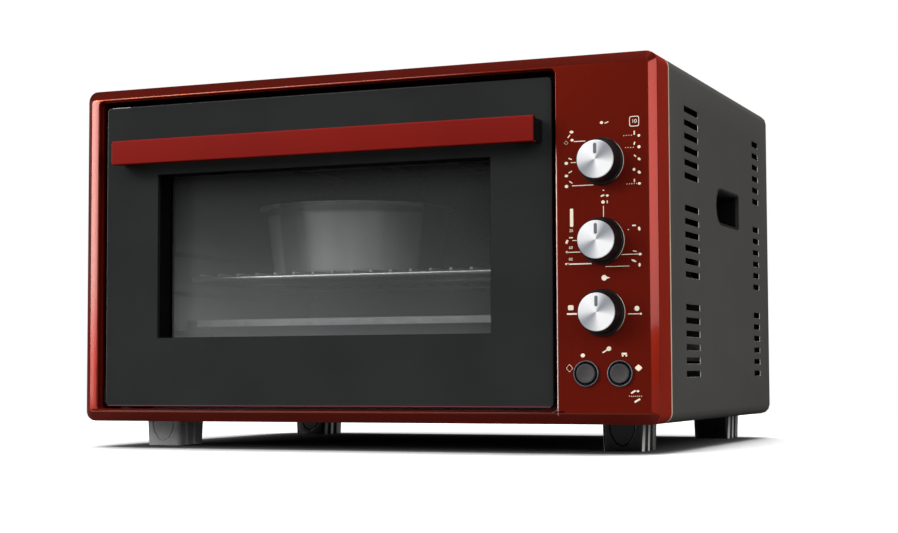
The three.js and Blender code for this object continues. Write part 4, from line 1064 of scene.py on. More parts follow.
@dataclass
class Piece:
    """A finished surface on its way into the scene.

    An edge stays sharp past the angle `sharp`, in degrees.
    """

    name: str
    body: str
    finish: Finish
    slot: str
    replaces: tuple[str, ...] = ()
    sharp: float = 32.0

    def grid(self, points: np.ndarray, closed: bool = False, caps: bool = True) -> bpy.types.Object:
        """Skin a grid of points, whose rows are rings.

        Args:
            points: Grid of points (rings, points on a ring, 3), in metres.
            closed: Whether the last ring joins the first.
            caps: Whether the first and last rings of an open grid are filled.

        Returns:
            The dressed object.
        """
        index = np.arange(points.shape[0] * points.shape[1]).reshape(points.shape[:2])
        faces = banded(index, closed)
        if caps and not closed:
            faces += [index[0, ::-1].tolist(), index[-1].tolist()]
        return self.mesh(points.reshape(-1, 3), faces)

    def mesh(self, vertices: np.ndarray, faces: Iterable) -> bpy.types.Object:
        """Make a mesh of points and faces, with its doubles merged and its faces outwards.

        Args:
            vertices: Points (n, 3), in metres.
            faces: Point numbers of each face.

        Returns:
            The dressed object.
        """
        data = bpy.data.meshes.new(self.name)
        data.from_pydata(np.asarray(vertices, float).tolist(), [], list(faces))
        with editing(data) as work:
            bmesh.ops.remove_doubles(work, verts=work.verts, dist=MERGE)
            bmesh.ops.dissolve_degenerate(work, edges=work.edges, dist=MERGE)
            bmesh.ops.recalc_face_normals(work, faces=work.faces)
        return self.dress(data)

    def dress(self, data: bpy.types.Mesh) -> bpy.types.Object:
        """Put a mesh into the scene as this piece, riding its body.

        Args:
            data: The mesh, in the oven's frame.

        Returns:
            The object.
        """
        data.shade_smooth()
        data.set_sharp_from_angle(angle=math.radians(self.sharp))
        data.materials.clear()
        data.materials.append(self.finish.material())
        made = link_object(self.name, data)
        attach(made, self.body)
        if self.replaces:
            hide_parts(*self.replaces)
        LOG.info("%s: %d faces", self.name, len(data.polygons))
        return made

    def lathe(
        self, profile: np.ndarray, centre: Point, axis: str = "Y", sides: int = 96, closed: bool = False
    ) -> bpy.types.Object:
        """Turn a profile about an axis.

        A profile point (r, a) goes to a ring of radius r at a along the axis.

        Args:
            profile: Points (n, 2) of radius and place along the axis, in millimetres.
            centre: Point that the axis passes through, where a is 0.
            axis: Y or Z.
            sides: Spans round the axis.
            closed: Whether the profile's ends join.

        Returns:
            The dressed object.
        """
        turn = np.linspace(0, FULL_TURN, sides, endpoint=False)[None, :]
        radius, along = profile[:, :1] * MM, np.broadcast_to(profile[:, 1:] * MM, (len(profile), sides))
        first, second = radius * np.cos(turn), radius * np.sin(turn)
        order = {"Y": (first, along, second), "Z": (first, second, along)}[axis]
        return self.grid(np.stack(order, -1) + np.array(centre), closed, caps=False)

    def softened(self, width: float, segments: int = 2) -> bpy.types.Object:
        """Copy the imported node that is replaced, join its flat faces and round its edges.

        Args:
            width: Width of the rounding, in millimetres.
            segments: Spans across the rounding.

        Returns:
            The dressed object.
        """
        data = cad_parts[self.replaces[0]].data.copy()
        data.name = self.name
        flat = math.radians(FLAT_ANGLE)
        with editing(data) as work:
            bmesh.ops.remove_doubles(work, verts=work.verts, dist=PACKED_MERGE)
            bmesh.ops.dissolve_limit(work, angle_limit=flat, verts=work.verts, edges=work.edges)
        for name in [layer.name for layer in data.attributes if layer.name == "custom_normal"]:
            data.attributes.remove(data.attributes[name])
        made = self.dress(data)
        bevel = made.modifiers.new("edges", "BEVEL")
        bevel.width, bevel.segments = width * MM, segments
        bevel.limit_method, bevel.angle_limit = "ANGLE", math.radians(self.sharp)
        bevel.use_clamp_overlap = True
        bevel.harden_normals = True
        return made

    def drill(self, made: bpy.types.Object, holes: Sequence[Point], radius: float, reach: float) -> None:
        """Cut round holes through this piece's object, along the oven's depth.

        Args:
            made: The object.
            holes: Middle point of each hole.
            radius: Their radius, in millimetres.
            reach: How far each drill reaches in all, in millimetres.
        """
        shape = bpy.data.meshes.new("drill")
        with editing(shape) as work:
            for hole in holes:
                stand = Matrix.Translation(hole) @ Matrix.Rotation(math.pi / 2, 4, "X")
                bmesh.ops.create_cone(
                    work, cap_ends=True, segments=96, radius1=radius * MM, radius2=radius * MM,
                    depth=reach * MM, matrix=stand,
                )
        tool = link_object("drill", shape)
        cut = made.modifiers.new("holes", "BOOLEAN")
        cut.object, cut.operation, cut.solver = tool, "DIFFERENCE", "EXACT"
        cut_piece = made.evaluated_get(bpy.context.evaluated_depsgraph_get())
        made.data = bpy.data.meshes.new_from_object(cut_piece)
        made.modifiers.clear()
        made.data.set_sharp_from_angle(angle=math.radians(self.sharp))
        bpy.data.objects.remove(tool)
        bpy.data.meshes.remove(shape)


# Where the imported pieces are

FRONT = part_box("front_frame")[0].y
CASING_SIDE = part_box("casing")[1].x


def at(x: float, y: float, z: float) -> Point:
    """Give a point from millimetres behind the frame's front face.

    Args:
        x: To the right of the oven's middle.
        y: Behind the front face.
        z: Above the worktop.

    Returns:
        The point in metres.
    """
    return (x * MM, FRONT + y * MM, z * MM)


def packed(node: str) -> tuple[float, float, float, float, float, float]:
    """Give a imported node's left, right, front, rear, low and high side in millimetres."""
    low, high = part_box(node)
    return (low.x / MM, high.x / MM, (low.y - FRONT) / MM, (high.y - FRONT) / MM, low.z / MM, high.z / MM)


def upright(outline: np.ndarray, y: Any) -> np.ndarray:
    """Stand an outline in millimetres up at a depth.

    Args:
        outline: Points (n, 2) of x and z.
        y: Depth behind the front face, a number or one for each point.

    Returns:
        Points (n, 3) in metres.
    """
    depth = np.broadcast_to(np.asarray(y, float), (len(outline),))
    return np.stack([outline[:, 0] * MM, FRONT + depth * MM, outline[:, 1] * MM], -1)


def level(outline: np.ndarray, z: float) -> np.ndarray:
    """Lay an outline of x and depth, in millimetres, flat at a height."""
    return np.stack([outline[:, 0] * MM, FRONT + outline[:, 1] * MM, np.full(len(outline), z * MM)], -1)


def drawn(section: np.ndarray, left: float, right: float) -> np.ndarray:
    """Draw a section of depth and z out along x.

    Args:
        section: Points (n, 2), in millimetres.
        left: Where it starts.
        right: Where it ends.

    Returns:
        Grid of points (2, n, 3) in metres.
    """
    ends = [np.column_stack([np.full(len(section), x), section]) for x in (left, right)]
    return np.stack(ends) * MM + np.array([0.0, FRONT, 0.0])


def palette() -> dict[str, Finish]:
    """List the finishes that more than one piece uses.

    Returns:
        Finishes by a maker's plain name.
    """
    finishes = (
        FrontLacquer(
            "red_lacquer", linear(156, 38, 19), linear(148, 35, 16), 0.7, 0.3, 0.6, 0.06, 0.05,
            front=FRONT + 0.0052, side=linear(160, 38, 20),
        ),
        Lacquer(
            "handle_red", linear(129, 24, 17), linear(121, 22, 16), 0.1, 0.55, 0.0, 0.15, 0.05,
            grain=((6.0, 500.0, 500.0), 2.0),
        ),
        GrainedPaint(
            "casing_paint", linear(91, 90, 88), linear(86, 85, 83), 0.0, 0.62, specular=0.04,
            sheet=CASING_SIDE,
        ),
        Moulding("frame_black", linear(9, 9, 9), linear(6, 6, 6), 0.0, 0.75, specular=0.08),
        Moulding("knob_black", linear(12, 15, 18), linear(7, 9, 11), 0.0, 0.5, 0.15, 0.1, 0.3),
        Moulding("button_grey", linear(70, 67, 69), linear(60, 57, 59), 0.0, 0.45, 0.1, 0.1),
        # A pale grey copy of the black foot, for a painted reflection of the floor on the front left foot.
        Moulding("foot_floor_reflection", linear(205, 205, 206), linear(190, 190, 191), 0.0, 0.3, 0.4, 0.05),
        # Matt black, which the sheets behind the rear slots take as painted shade.
        Moulding("dark_sheet", linear(14, 14, 14), linear(9, 9, 9), 0.0, 0.8),
        Moulding("grip_black", linear(16, 16, 17), linear(11, 11, 12), 0.0, 0.26),
        # A paler copy of the tray's enamel, for a painted highlight along the tray's front.
        Moulding("tray_lip_highlight", linear(178, 181, 183), linear(166, 169, 171), 0.0, 0.4),
        Moulding("seal_grey", linear(88, 86, 84), linear(70, 68, 66), 0.0, 0.8),
        Moulding("ceramic", linear(206, 200, 186), linear(186, 180, 166), 0.0, 0.6),
        Moulding("print_cream", linear(255, 244, 224), linear(248, 232, 208), 0.0, 0.6),
        CupMoulding(
            "cup_black", linear(52, 53, 54), linear(42, 43, 44), 0.0, 0.55, specular=0.15, rim=CASING_SIDE
        ),
        # The cavity's enamel takes painted shade from a height up.
        Enamel(
            "cavity_enamel", linear(176, 177, 177), linear(158, 159, 159), 0.0, 0.42, specular=0.15,
            speck=linear(196, 197, 198), top_shade=linear(74, 74, 74),
        ),
        Enamel(
            "tray_enamel", linear(136, 138, 140), linear(120, 122, 124), 0.1, 0.35,
            speck=linear(160, 162, 164),
        ),
        BrushedMetal("galvanised", linear(176, 178, 180), linear(140, 142, 146), 0.85, 0.42),
        BrushedMetal("plated", linear(226, 227, 228), linear(196, 198, 200), 1.0, 0.16),
        BrushedMetal("rack_steel", linear(254, 254, 254), linear(250, 250, 250), 1.0, 0.34),
        BrushedMetal("rack_shade", linear(190, 191, 191), linear(176, 177, 177), 0.3, 0.4),
        BrushedMetal("element_steel", linear(84, 80, 76), linear(56, 54, 52), 0.8, 0.5),
        BrushedMetal("brass", linear(186, 152, 92), linear(150, 120, 70), 1.0, 0.34),
        BrushedMetal(
            "ring_blue", linear(136, 146, 158), linear(70, 76, 86), 0.2, 0.35,
            grain=((60.0, 60.0, 60.0), 3.0),
        ),
        # Pale strip colour: a painted highlight along the seam between frame and casing.
        BrushedMetal(
            "seam_highlight", linear(250, 226, 196), linear(206, 176, 148), 0.0, 0.35,
            grain=((6.0, 6.0, 12.0), 3.0),
        ),
        ClearGlass("clear_glass", linear(20, 22, 22), roughness=0.05),
    )
    return {finish.name: finish for finish in finishes}


FINISH = palette()


def dress_nodes(finish: Finish, *nodes: str) -> None:
    """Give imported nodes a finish.

    Args:
        finish: The finish.
        nodes: Their names.
    """
    for node in nodes:
        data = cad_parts[node].data
        if not data.materials:
            data.materials.append(None)
        for index in range(len(data.materials)):
            data.materials[index] = finish.material()


# The oven


@dataclass
class Body:
    """The outer body: front frame, seam, casing, rear panel, base, feet and grips."""

    half_width: float = 283.0
    low: float = 25.0
    high: float = 340.0
    corner: float = 9.5
    depth: float = 42.0
    bevel_side: float = 6.5
    bevel_rise: float = 9.0
    bevel_depth: float = 5.0
    face_corner: float = 3.0
    face_edge: float = 0.8
    inner_corner: float = 3.0
    recess: Area = (-268.0, 193.8, 35.5, 329.5)
    recess_corner: float = 5.0
    recess_depth: float = 38.0
    recess_lip: float = 1.0
    recess_edge: float = 0.9
    wall: float = 2.5
    turned_in: float = 2.0
    edge: float = 0.7
    crown: float = 0.75
    crown_start: float = 262.0
    crown_width: float = 14.0
    seam_step: float = 0.5
    seam_start: float = 39.4
    seam_end: float = 42.28
    seam_proud: float = 0.02
    seam_edge: float = 0.3
    seam_inner: float = 1.2
    # Dark sheets behind the rear slots, as painted shade: where they lie, their corners, gap and thickness.
    shade_sheet_across: Span = (95.0, 240.0)
    shade_sheet_up: Span = (195.0, 292.0)
    shade_sheet_corner: float = 3.0
    shade_sheet_gap: float = 3.0
    shade_sheet_thick: float = 0.6
    button_hole: float = 9.9

    def outline(self, inset: float, rise: float, radius: float) -> np.ndarray:
        """Outline of the body, drawn in by an inset at the sides and a rise above and below."""
        side = self.half_width - inset
        return rounded((-side, side, self.low + rise, self.high - rise), radius)

    def build(self) -> None:
        """Build and dress every piece of the outer body."""
        self.front_frame()
        self.seam()
        self.dark_sheet()
        grey, cup, black = FINISH["casing_paint"], FINISH["cup_black"], self.foot_finish()
        self.soften("casing_shell", grey, "grey_paint", "casing", 0.45, 2)
        self.soften("back_panel", grey, "grey_paint", "rear_panel", 0.4, 2)
        dress_nodes(FINISH["galvanised"], "base_plate")
        for node in ("foot_front_left", "foot_front_right", "foot_rear_left", "foot_rear_right"):
            # The front left foot takes the pale painted reflection of the floor.
            finish = FINISH["foot_floor_reflection"] if node == "foot_front_left" else black
            self.soften(f"{node}_moulding", finish, "black_plastic", node, 0.9, 3)
        for side in ("left", "right"):
            self.soften(f"grip_pocket_{side}", cup, "black_plastic", f"grip_cup_{side}", 0.8, 3)

    @staticmethod
    def soften(name: str, finish: Finish, slot: str, node: str, width: float, segments: int) -> None:
        """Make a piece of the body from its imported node, with round edges."""
        Piece(name, "oven", finish, slot, (node,), SOFT_ANGLE).softened(width, segments)

    @staticmethod
    def foot_finish() -> Finish:
        """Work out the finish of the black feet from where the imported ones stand."""
        low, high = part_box("foot_front_right")
        return FlutedFoot(
            "foot_black", linear(5, 5, 6), linear(3, 3, 4), 0.0, 0.2, 0.4, 0.04,
            middle=(low.x + high.x) / 2, half=(high.x - low.x) / 2, length=high.y - low.y,
            fronts=(low.y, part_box("foot_rear_right")[0].y),
        )

    def front_frame(self) -> None:
        """Skin the bevelled frame with its panel in one closed loft, and drill the button holes.

        Rings run from the back edge over the side, the bevel and the face into the recess, and
        back behind the sheet. Corners of that section are rounded by a quadratic blend. The
        narrow left rail is crowned: its outer edge lies back by a small amount.
        """
        wall, corner, lip = self.wall, self.corner, self.recess_lip
        section = filleted([
            (self.seam_step, self.depth, 0.0), (self.seam_step, self.seam_start, 0.1),
            (0.0, self.seam_start - 0.2, 0.1), (0.0, self.bevel_depth, self.edge),
            (self.bevel_side, 0.0, self.edge), (self.bevel_side + 2.0, 0.0, 0.0),
        ])
        rings = []
        for inset, y in section[section[:, 0] <= self.bevel_side + self.face_edge]:
            share = min(inset / self.bevel_side, 1.0)
            radius = corner + (self.face_corner - corner) * share
            flat = self.outline(self.bevel_side * share, self.bevel_rise * share, radius)
            outwards = np.clip((-flat[:, 0] - self.crown_start) / self.crown_width, 0.0, 1.0)
            rings.append(upright(flat, y + self.crown * share * outwards))
        turn = filleted([(2.0 * lip, 0.0, 0.0), (0.0, 0.0, self.recess_edge), (0.0, self.recess_depth, 0.0)])
        inner = [(min(spread, lip), y) for spread, y in turn]
        for spread, y in inner + [(self.turned_in, self.recess_depth), (self.turned_in, wall)]:
            rings.append(upright(rounded(self.recess, self.recess_corner + spread, spread), y))
        behind = self.outline(self.bevel_side + wall, self.bevel_rise + wall, self.inner_corner)
        rings.append(upright(behind, wall))
        for y in (self.bevel_depth + wall, self.depth):
            rings.append(upright(self.outline(wall, wall, corner - wall), y))
        piece = Piece("red_front", "oven", FINISH["red_lacquer"], "red_paint", ("front_frame",), 40.0)
        skin = piece.grid(np.stack(rings), closed=True)
        holes = [at(x, 0.0, Controls.button_z) for x in Controls().button_places().values()]
        piece.drill(skin, holes, self.button_hole, 4 * wall)

    def dark_sheet(self) -> None:
        """Lay dark sheets behind the rear panel's slots, one on each side, as painted shade seen through
        them.
        """
        depth = packed("rear_panel")[3] - self.shade_sheet_gap
        near, far = self.shade_sheet_across
        sheets = Pile()
        for left, right in ((-far, -near), (near, far)):
            flat = rounded((left, right, *self.shade_sheet_up), self.shade_sheet_corner, steps=3)
            sheets.add(np.stack([upright(flat, depth - self.shade_sheet_thick), upright(flat, depth)]))
        sheets.skin(Piece("vent_shade_sheet", "oven", FINISH["dark_sheet"], "black_plastic"))

    def seam(self) -> None:
        """Run the thin seam strip between the frame and the casing, pale as a painted highlight."""
        start, end, proud, inner = self.seam_start, self.seam_end, self.seam_proud, self.seam_inner
        section = (
            (self.seam_edge, start + 0.1), (proud, start + 0.4), (proud, end), (inner, end),
            (inner, start + 0.1),
        )
        rings = [upright(self.outline(inset, inset, self.corner - inset), y) for inset, y in section]
        Piece("seam_strip", "oven", FINISH["seam_highlight"], "steel").grid(np.stack(rings), closed=True)


@dataclass
class Door:
    """The drop-down door: printed glass, inner panes, frame, handle and hinges."""

    area: Area = (-262.6, 188.4, 39.0, 323.5)
    window: Area = (-205.6, 131.4, 103.0, 257.0)
    glass: Span = (6.0, 10.0)
    glass_edge: float = 3.0
    corner: float = 4.0
    least_corner: float = 0.8
    handle: Span = (-241.25, 180.05)
    handle_z: Span = (265.45, 287.95)
    handle_y: Span = (-18.0, -10.0)
    handle_wall: float = 1.2

    def build(self) -> None:
        """Build and dress every piece of the door."""
        self.front_glass()
        self.handle_face()
        dress_nodes(FINISH["frame_black"], "door_frame")
        window = tuple(v * MM for v in self.window)
        dress_nodes(HazedGlass(
            "hazed_glass", linear(156, 159, 158), linear(104, 105, 105), roughness=0.1, specular=0.1,
            window=window,
        ), "door_glass_inner")
        dress_nodes(FINISH["cavity_enamel"], "door_inner_panel")
        core = Piece(
            "handle_core", "door", FINISH["grip_black"], "black_plastic", ("handle_grip",), SOFT_ANGLE
        )
        core.softened(0.8, 3)
        dress_nodes(FINISH["plated"], "hinge_pin_left", "hinge_pin_right")
        dress_nodes(FINISH["dark_sheet"], "hinge_bracket_left", "hinge_bracket_right")

    def front_glass(self) -> None:
        """Skin the front pane, whose edges are ground to a small round."""
        front, back = self.glass
        rim = self.glass_edge
        section = filleted([(rim, back, 0.0), (0.0, back, 0.6), (0.0, front, 0.8), (rim, front, 0.0)])
        rings = [
            upright(rounded(self.area, max(self.corner - inset, self.least_corner), -inset), y)
            for inset, y in section
        ]
        finish = PrintedGlass(
            "printed_glass", linear(45, 46, 46), roughness=0.05, specular=0.2,
            window=tuple(v * MM for v in self.window), clear=0.05,
        )
        Piece("front_pane", "door", finish, "dark_glass", ("door_glass_outer",)).grid(np.stack(rings))

    def handle_face(self) -> None:
        """Draw the trim's channel section along the handle: a C with round outer edges."""
        low, high = self.handle_z
        front, back = self.handle_y
        wall = self.handle_wall
        section = filleted([
            (back, low, 0.3), (front, low, 1.1), (front, high, 1.8), (back, high, 0.3),
            (back, high - wall, 0.3), (front + wall, high - wall, 0.4),
            (front + wall, low + wall, 0.4), (back, low + wall, 0.3),
        ], 5, closed=True)
        trim = Piece("handle_face", "door", FINISH["handle_red"], "red_trim", ("handle_trim",))
        trim.grid(drawn(section, *self.handle))


@dataclass
class Controls:
    """The control panel: three knobs, two push buttons and their printed marks.

    A knob is its control's name and the height of its axis. A profile's points are radius,
    place behind the panel and rounding. The dish is its radius, where its face starts and sag.
    """

    axis_x: float = 235.15
    knobs: tuple[tuple[str, float], ...] = (("thermostat", 247.2), ("timer", 179.8), ("selector", 119.2))
    button_z: float = 68.0
    button_gap: float = 29.8
    dish: Point = (7.4, -2.6, 0.8)
    grip: tuple[Point, ...] = (
        (0.0, -0.6, 0.0), (20.0, -0.6, 0.3), (20.0, -2.6, 0.7), (17.9, -3.4, 0.6), (16.95, -16.9, 0.5),
        (16.5, -17.6, 0.2), (16.35, -17.6, 0.1), (16.35, -16.7, 0.1), (0.0, -16.7, 0.0),
    )
    skirt_ring: tuple[Point, ...] = (
        (19.0, -2.72, 0.1), (19.7, -2.7, 0.2), (20.04, -2.3, 0.2), (20.04, -1.2, 0.1), (19.0, -1.2, 0.1),
    )
    cap: tuple[Point, ...] = (
        (0.0, -16.9, 0.0), (16.1, -16.9, 0.2), (16.1, -18.2, 0.25), (15.7, -18.6, 0.25), (0.0, -18.6, 0.0),
    )
    bezel: tuple[Point, ...] = (
        (8.8, -1.0, 0.2), (9.6, -1.6, 0.5), (10.6, -2.0, 0.2), (10.9, -1.6, 0.2), (11.0, -0.3, 0.1),
        (9.7, -0.3, 0.1), (9.7, 7.0, 0.1), (8.8, 7.0, 0.1),
    )
    bezel_ring: tuple[Point, ...] = (
        (10.35, -2.3, 0.2), (10.95, -2.1, 0.2), (11.0, -1.4, 0.1), (10.35, -1.4, 0.1),
    )

    def button_places(self) -> dict[str, float]:
        """Give the place of each button's axis to the right of the oven's middle, by its switch."""
        half = self.button_gap / 2
        return {"lamp": self.axis_x - half, "fan": self.axis_x + half}

    def build(self) -> None:
        """Build and dress every piece of the panel."""
        for name, z in self.knobs:
            self.knob(name, z)
        for name, x in self.button_places().items():
            self.button(name, x)
        dress_nodes(FINISH["galvanised"], "control_bracket", "thermostat_body", "timer_body")
        dress_nodes(FINISH["ceramic"], "selector_body")
        dress_nodes(FINISH["plated"], "thermostat_shaft", "timer_shaft", "selector_shaft")
        dress_nodes(FINISH["frame_black"], "lamp_switch_body", "fan_switch_body")
        PanelMarks(self.axis_x).build()

    def knob(self, name: str, z: float) -> None:
        """Turn a knob's body, its bright lower ring and its cap.

        Args:
            name: The control's name.
            z: Height of its axis above the worktop.
        """
        centre = at(self.axis_x, 0.0, z)
        body = f"{name}_control"
        grip = Piece(f"{name}_grip", body, FINISH["knob_black"], "black_plastic", (f"{name}_knob",))
        grip.lathe(filleted(self.grip), centre)
        # The ring's highlight at its right is painted.
        bright = SkirtRing(
            f"skirt_ring_{name}", linear(252, 232, 216), linear(20, 22, 26), roughness=0.3, centre=centre
        )
        ring = filleted(self.skirt_ring, 3, closed=True)
        Piece(f"{name}_ring", body, bright, "steel").lathe(ring, centre, closed=True)
        spun = SpunCap(
            f"spun_cap_{name}", linear(254, 254, 255), linear(150, 154, 160), 0.06, 0.3, centre=centre,
            notch=linear(104, 106, 116),
        )
        cap = Piece(f"{name}_cap", body, spun, "spun_aluminium", (f"{name}_knob_cap",))
        cap.lathe(filleted(self.cap), centre)

    def button(self, name: str, x: float) -> None:
        """Turn a push button, dished at its face, and its bright bezel.

        Args:
            name: The switch's name.
            x: Place of its axis to the right of the oven's middle.
        """
        centre = at(x, 0.0, self.button_z)
        bezel = Piece(f"{name}_bezel", "oven", FINISH["knob_black"], "steel", (f"{name}_button_bezel",))
        bezel.lathe(filleted(self.bezel, closed=True), centre, closed=True)
        ring = filleted(self.bezel_ring, 3, closed=True)
        Piece(f"{name}_bezel_ring", "oven", FINISH["ring_blue"], "steel").lathe(ring, centre, closed=True)
        edge, face, sag = self.dish
        reach = np.linspace(0.0, edge, 9)
        dish = np.stack([reach, face - sag * (reach / edge) ** 2], -1)
        stem = packed(f"{name}_button")[3]
        rim = filleted([
            (edge, face - sag, 0.0), (8.2, -3.2, 0.6), (8.2, 5.6, 0.1), (2.5, 5.6, 0.1), (2.5, stem, 0.1),
            (0.0, stem, 0.0),
        ])
        push = Piece(
            f"{name}_push", f"{name}_push", FINISH["button_grey"], "black_plastic", (f"{name}_button",)
        )
        push.lathe(np.concatenate([dish, rim]), centre, sides=64)


class Shape(Enum):
    """Outline of a printed mark."""

    BAR = "bar"
    DOT = "dot"
    DIAMOND = "diamond"
    DROP = "drop"
    FRAME = "frame"
    HOLLOW = "hollow diamond"


@dataclass(frozen=True)
class Mark:
    """A printed mark. Lengths are in millimetres and x counts from the knobs' axis."""

    shape: Shape
    x: float
    z: float
    width: float
    height: float
    lean: float = 0.0

    def outline(self, share: float = 1.0) -> np.ndarray:
        """Work out the mark's outline.

        A dot is an ellipse. A drop is a dot whose right side is drawn out to a point.

        Args:
            share: Share of its full size.

        Returns:
            Points (n, 2) about its middle, before it leans.
        """
        half_x, half_z = self.width / 2 * share, self.height / 2 * share
        if self.shape in (Shape.BAR, Shape.FRAME):
            radius = min(half_x, half_z) * (0.5 if self.shape is Shape.BAR else 0.4)
            return rounded((-half_x, half_x, -half_z, half_z), radius, steps=3)
        if self.shape in (Shape.DIAMOND, Shape.HOLLOW):
            tips = ((half_x, 0.0), (0.0, half_z), (-half_x, 0.0), (0.0, -half_z))
            return filleted([(x, z, half_x * 0.3) for x, z in tips], 3, closed=True)
        turn = np.linspace(0.0, FULL_TURN, 16, endpoint=False)
        pull = np.where(turn == 0.0, 2.2, 1.0) if self.shape is Shape.DROP else 1.0
        return np.stack([half_x * np.cos(turn) * pull, half_z * np.sin(turn)], -1)

    def loops(self) -> list[np.ndarray]:
        """Give the outline, and for an open mark also its inner edge, leant and in place.

        Returns:
            Loops of points (n, 2), the outer one first.
        """
        lean = math.radians(self.lean)
        turn = np.array([[math.cos(lean), math.sin(lean)], [-math.sin(lean), math.cos(lean)]])
        shares = (1.0, 0.87) if self.shape in (Shape.FRAME, Shape.HOLLOW) else (1.0,)
        return [self.outline(share) @ turn + np.array([self.x, self.z]) for share in shares]


def dotted(left: float, right: float, z: float, count: int) -> list[Mark]:
    """Lay a row of small dots."""
    return [Mark(Shape.DOT, float(x), z, 0.8, 0.8) for x in np.linspace(left, right, count)]


@dataclass
class PanelMarks:
    """Plain printed marks: ticks, dots, lines and numbers round the knobs."""

    axis_x: float
    proud: float = 0.06
    far: float = 33.0
    near: float = -31.5
    type_share: float = 1.35

    def marks(self) -> list[Mark]:
        """List the marks from the top of the panel down."""
        bar, dot, far, near = Shape.BAR, Shape.DOT, self.far, self.near
        return [
            Mark(dot, 0.2, 280.2, 3.0, 2.4), Mark(bar, 4.6, 280.0, 3.6, 0.8, 20.0),
            Mark(Shape.FRAME, 29.0, 279.7, 8.6, 8.8),
            Mark(dot, -26.6, 273.6, 3.6, 2.4), Mark(bar, -29.0, 270.0, 3.2, 0.9, 50.0),
            Mark(dot, -26.2, 266.6, 2.8, 2.2), Mark(Shape.HOLLOW, near, 264.6, 4.0, 3.6),
            Mark(bar, -19.5, 265.3, 10.5, 0.7),
            Mark(bar, -28.0, 250.6, 3.2, 0.9, -25.0), Mark(dot, near, 247.0, 3.2, 2.6),
            Mark(bar, -24.5, 247.4, 6.0, 0.7),
            Mark(bar, -28.0, 239.4, 3.4, 0.9, 25.0), Mark(dot, near, 236.2, 3.2, 2.4),
            Mark(bar, -27.6, 230.6, 3.4, 0.9, -35.0), Mark(dot, near, 227.2, 3.2, 2.8),
            Mark(bar, -17.0, 227.5, 19.0, 0.7),
            Mark(bar, 29.0, 269.9, 1.2, 3.4), Mark(dot, far, 267.4, 2.6, 2.2, 20.0),
            Mark(bar, 29.0, 261.0, 1.2, 2.6, -15.0), Mark(dot, far, 257.9, 2.8, 2.6),
            Mark(bar, 29.5, 250.4, 2.4, 1.0, -40.0), Mark(dot, far, 247.6, 3.0, 2.2, -35.0),
            Mark(dot, 28.5, 239.0, 2.4, 2.6), Mark(dot, far, 236.4, 3.2, 2.4, -35.0),
            Mark(bar, 28.7, 229.6, 1.0, 2.6), Mark(dot, far, 226.9, 2.8, 2.2),
            *dotted(19.8, 26.6, 268.0, 4), *dotted(21.2, 28.0, 257.7, 4), *dotted(22.2, 30.6, 227.0, 5),
            Mark(dot, 1.4, 222.5, 1.4, 1.0), Mark(bar, 0.6, 218.0, 3.4, 1.4, 20.0),
            Mark(dot, 4.8, 218.0, 2.6, 2.0),
            Mark(dot, 1.0, 212.6, 3.2, 2.8), Mark(bar, 4.7, 212.7, 0.9, 2.4),
            Mark(bar, 1.3, 204.6, 0.6, 9.6),
            Mark(bar, -27.1, 200.3, 2.9, 15.4),
            Mark(bar, -27.8, 183.3, 3.6, 0.9), Mark(bar, near, 179.9, 2.0, 3.4, -25.0),
            Mark(bar, -24.6, 180.8, 4.0, 0.6),
            Mark(bar, 28.0, 191.8, 3.2, 1.2), Mark(dot, far - 0.5, 189.0, 2.2, 3.4, 15.0),
            Mark(dot, 23.0, 188.5, 1.0, 0.8),
            Mark(dot, near, 171.1, 2.2, 1.8), Mark(bar, -25.4, 170.9, 13.5, 0.6),
            Mark(bar, 24.6, 167.7, 15.6, 0.6), Mark(dot, far, 167.6, 2.8, 2.2),
            Mark(bar, 28.4, 170.2, 3.4, 0.7, -15.0),
            Mark(bar, near, 161.0, 3.4, 1.4), Mark(bar, -20.6, 160.8, 22.0, 1.1),
            Mark(bar, 13.0, 157.9, 21.0, 0.5), Mark(dot, 27.6, 162.2, 4.6, 1.6, -25.0),
            Mark(dot, far - 0.5, 158.6, 2.0, 3.2),
            Mark(Shape.DROP, 1.4, 148.5, 4.8, 4.8),
            Mark(bar, -28.5, 123.8, 5.0, 4.2), Mark(bar, -27.5, 118.5, 9.0, 1.5),
            Mark(dot, 29.8, 122.2, 4.2, 4.4), Mark(bar, 27.4, 117.7, 10.6, 0.7),
            Mark(dot, far, 117.7, 2.2, 1.8),
            Mark(dot, 5.0, 88.8, 4.2, 3.8, 20.0), Mark(bar, 1.4, 86.6, 4.6, 1.2, 30.0),
            Mark(dot, -18.1, 83.3, 3.8, 3.4), Mark(bar, 18.4, 84.4, 4.6, 1.8),
            Mark(dot, 17.0, 83.0, 1.6, 2.0), Mark(dot, 20.2, 83.0, 1.6, 2.0),
            Mark(Shape.HOLLOW, -30.0, 72.6, 6.4, 7.2), Mark(Shape.DIAMOND, 30.7, 72.6, 7.2, 6.0),
            Mark(bar, 26.0, 52.6, 4.6, 1.4, 30.0), Mark(dot, 30.0, 53.2, 2.4, 1.8),
            *dotted(22.6, 33.0, 49.0, 7), Mark(bar, 29.4, 45.4, 5.6, 1.6, 30.0),
        ]

    def build(self) -> None:
        """Print the marks as one piece, and each number as another."""
        print_pile = Pile()
        for mark in self.marks():
            loops = [upright(loop + np.array([self.axis_x, 0.0]), -self.proud) for loop in mark.loops()]
            print_pile.add(np.stack(loops), ends=len(loops) == 1)
        marks = Piece("printed_marks", "oven", FINISH["print_cream"], "seal_grey")
        self.face_front(print_pile.skin(marks))
        numbers = (
            ("10", 29.0, 279.7, 3.4), ("20", -27.6, 189.2, 2.6), ("60", -28.1, 174.8, 2.6),
            ("90", -28.2, 164.8, 2.6),
        )
        for index, (text, middle, height, size) in enumerate(numbers):
            self.number(f"printed_number_{index}", text, self.axis_x + middle, height, size)

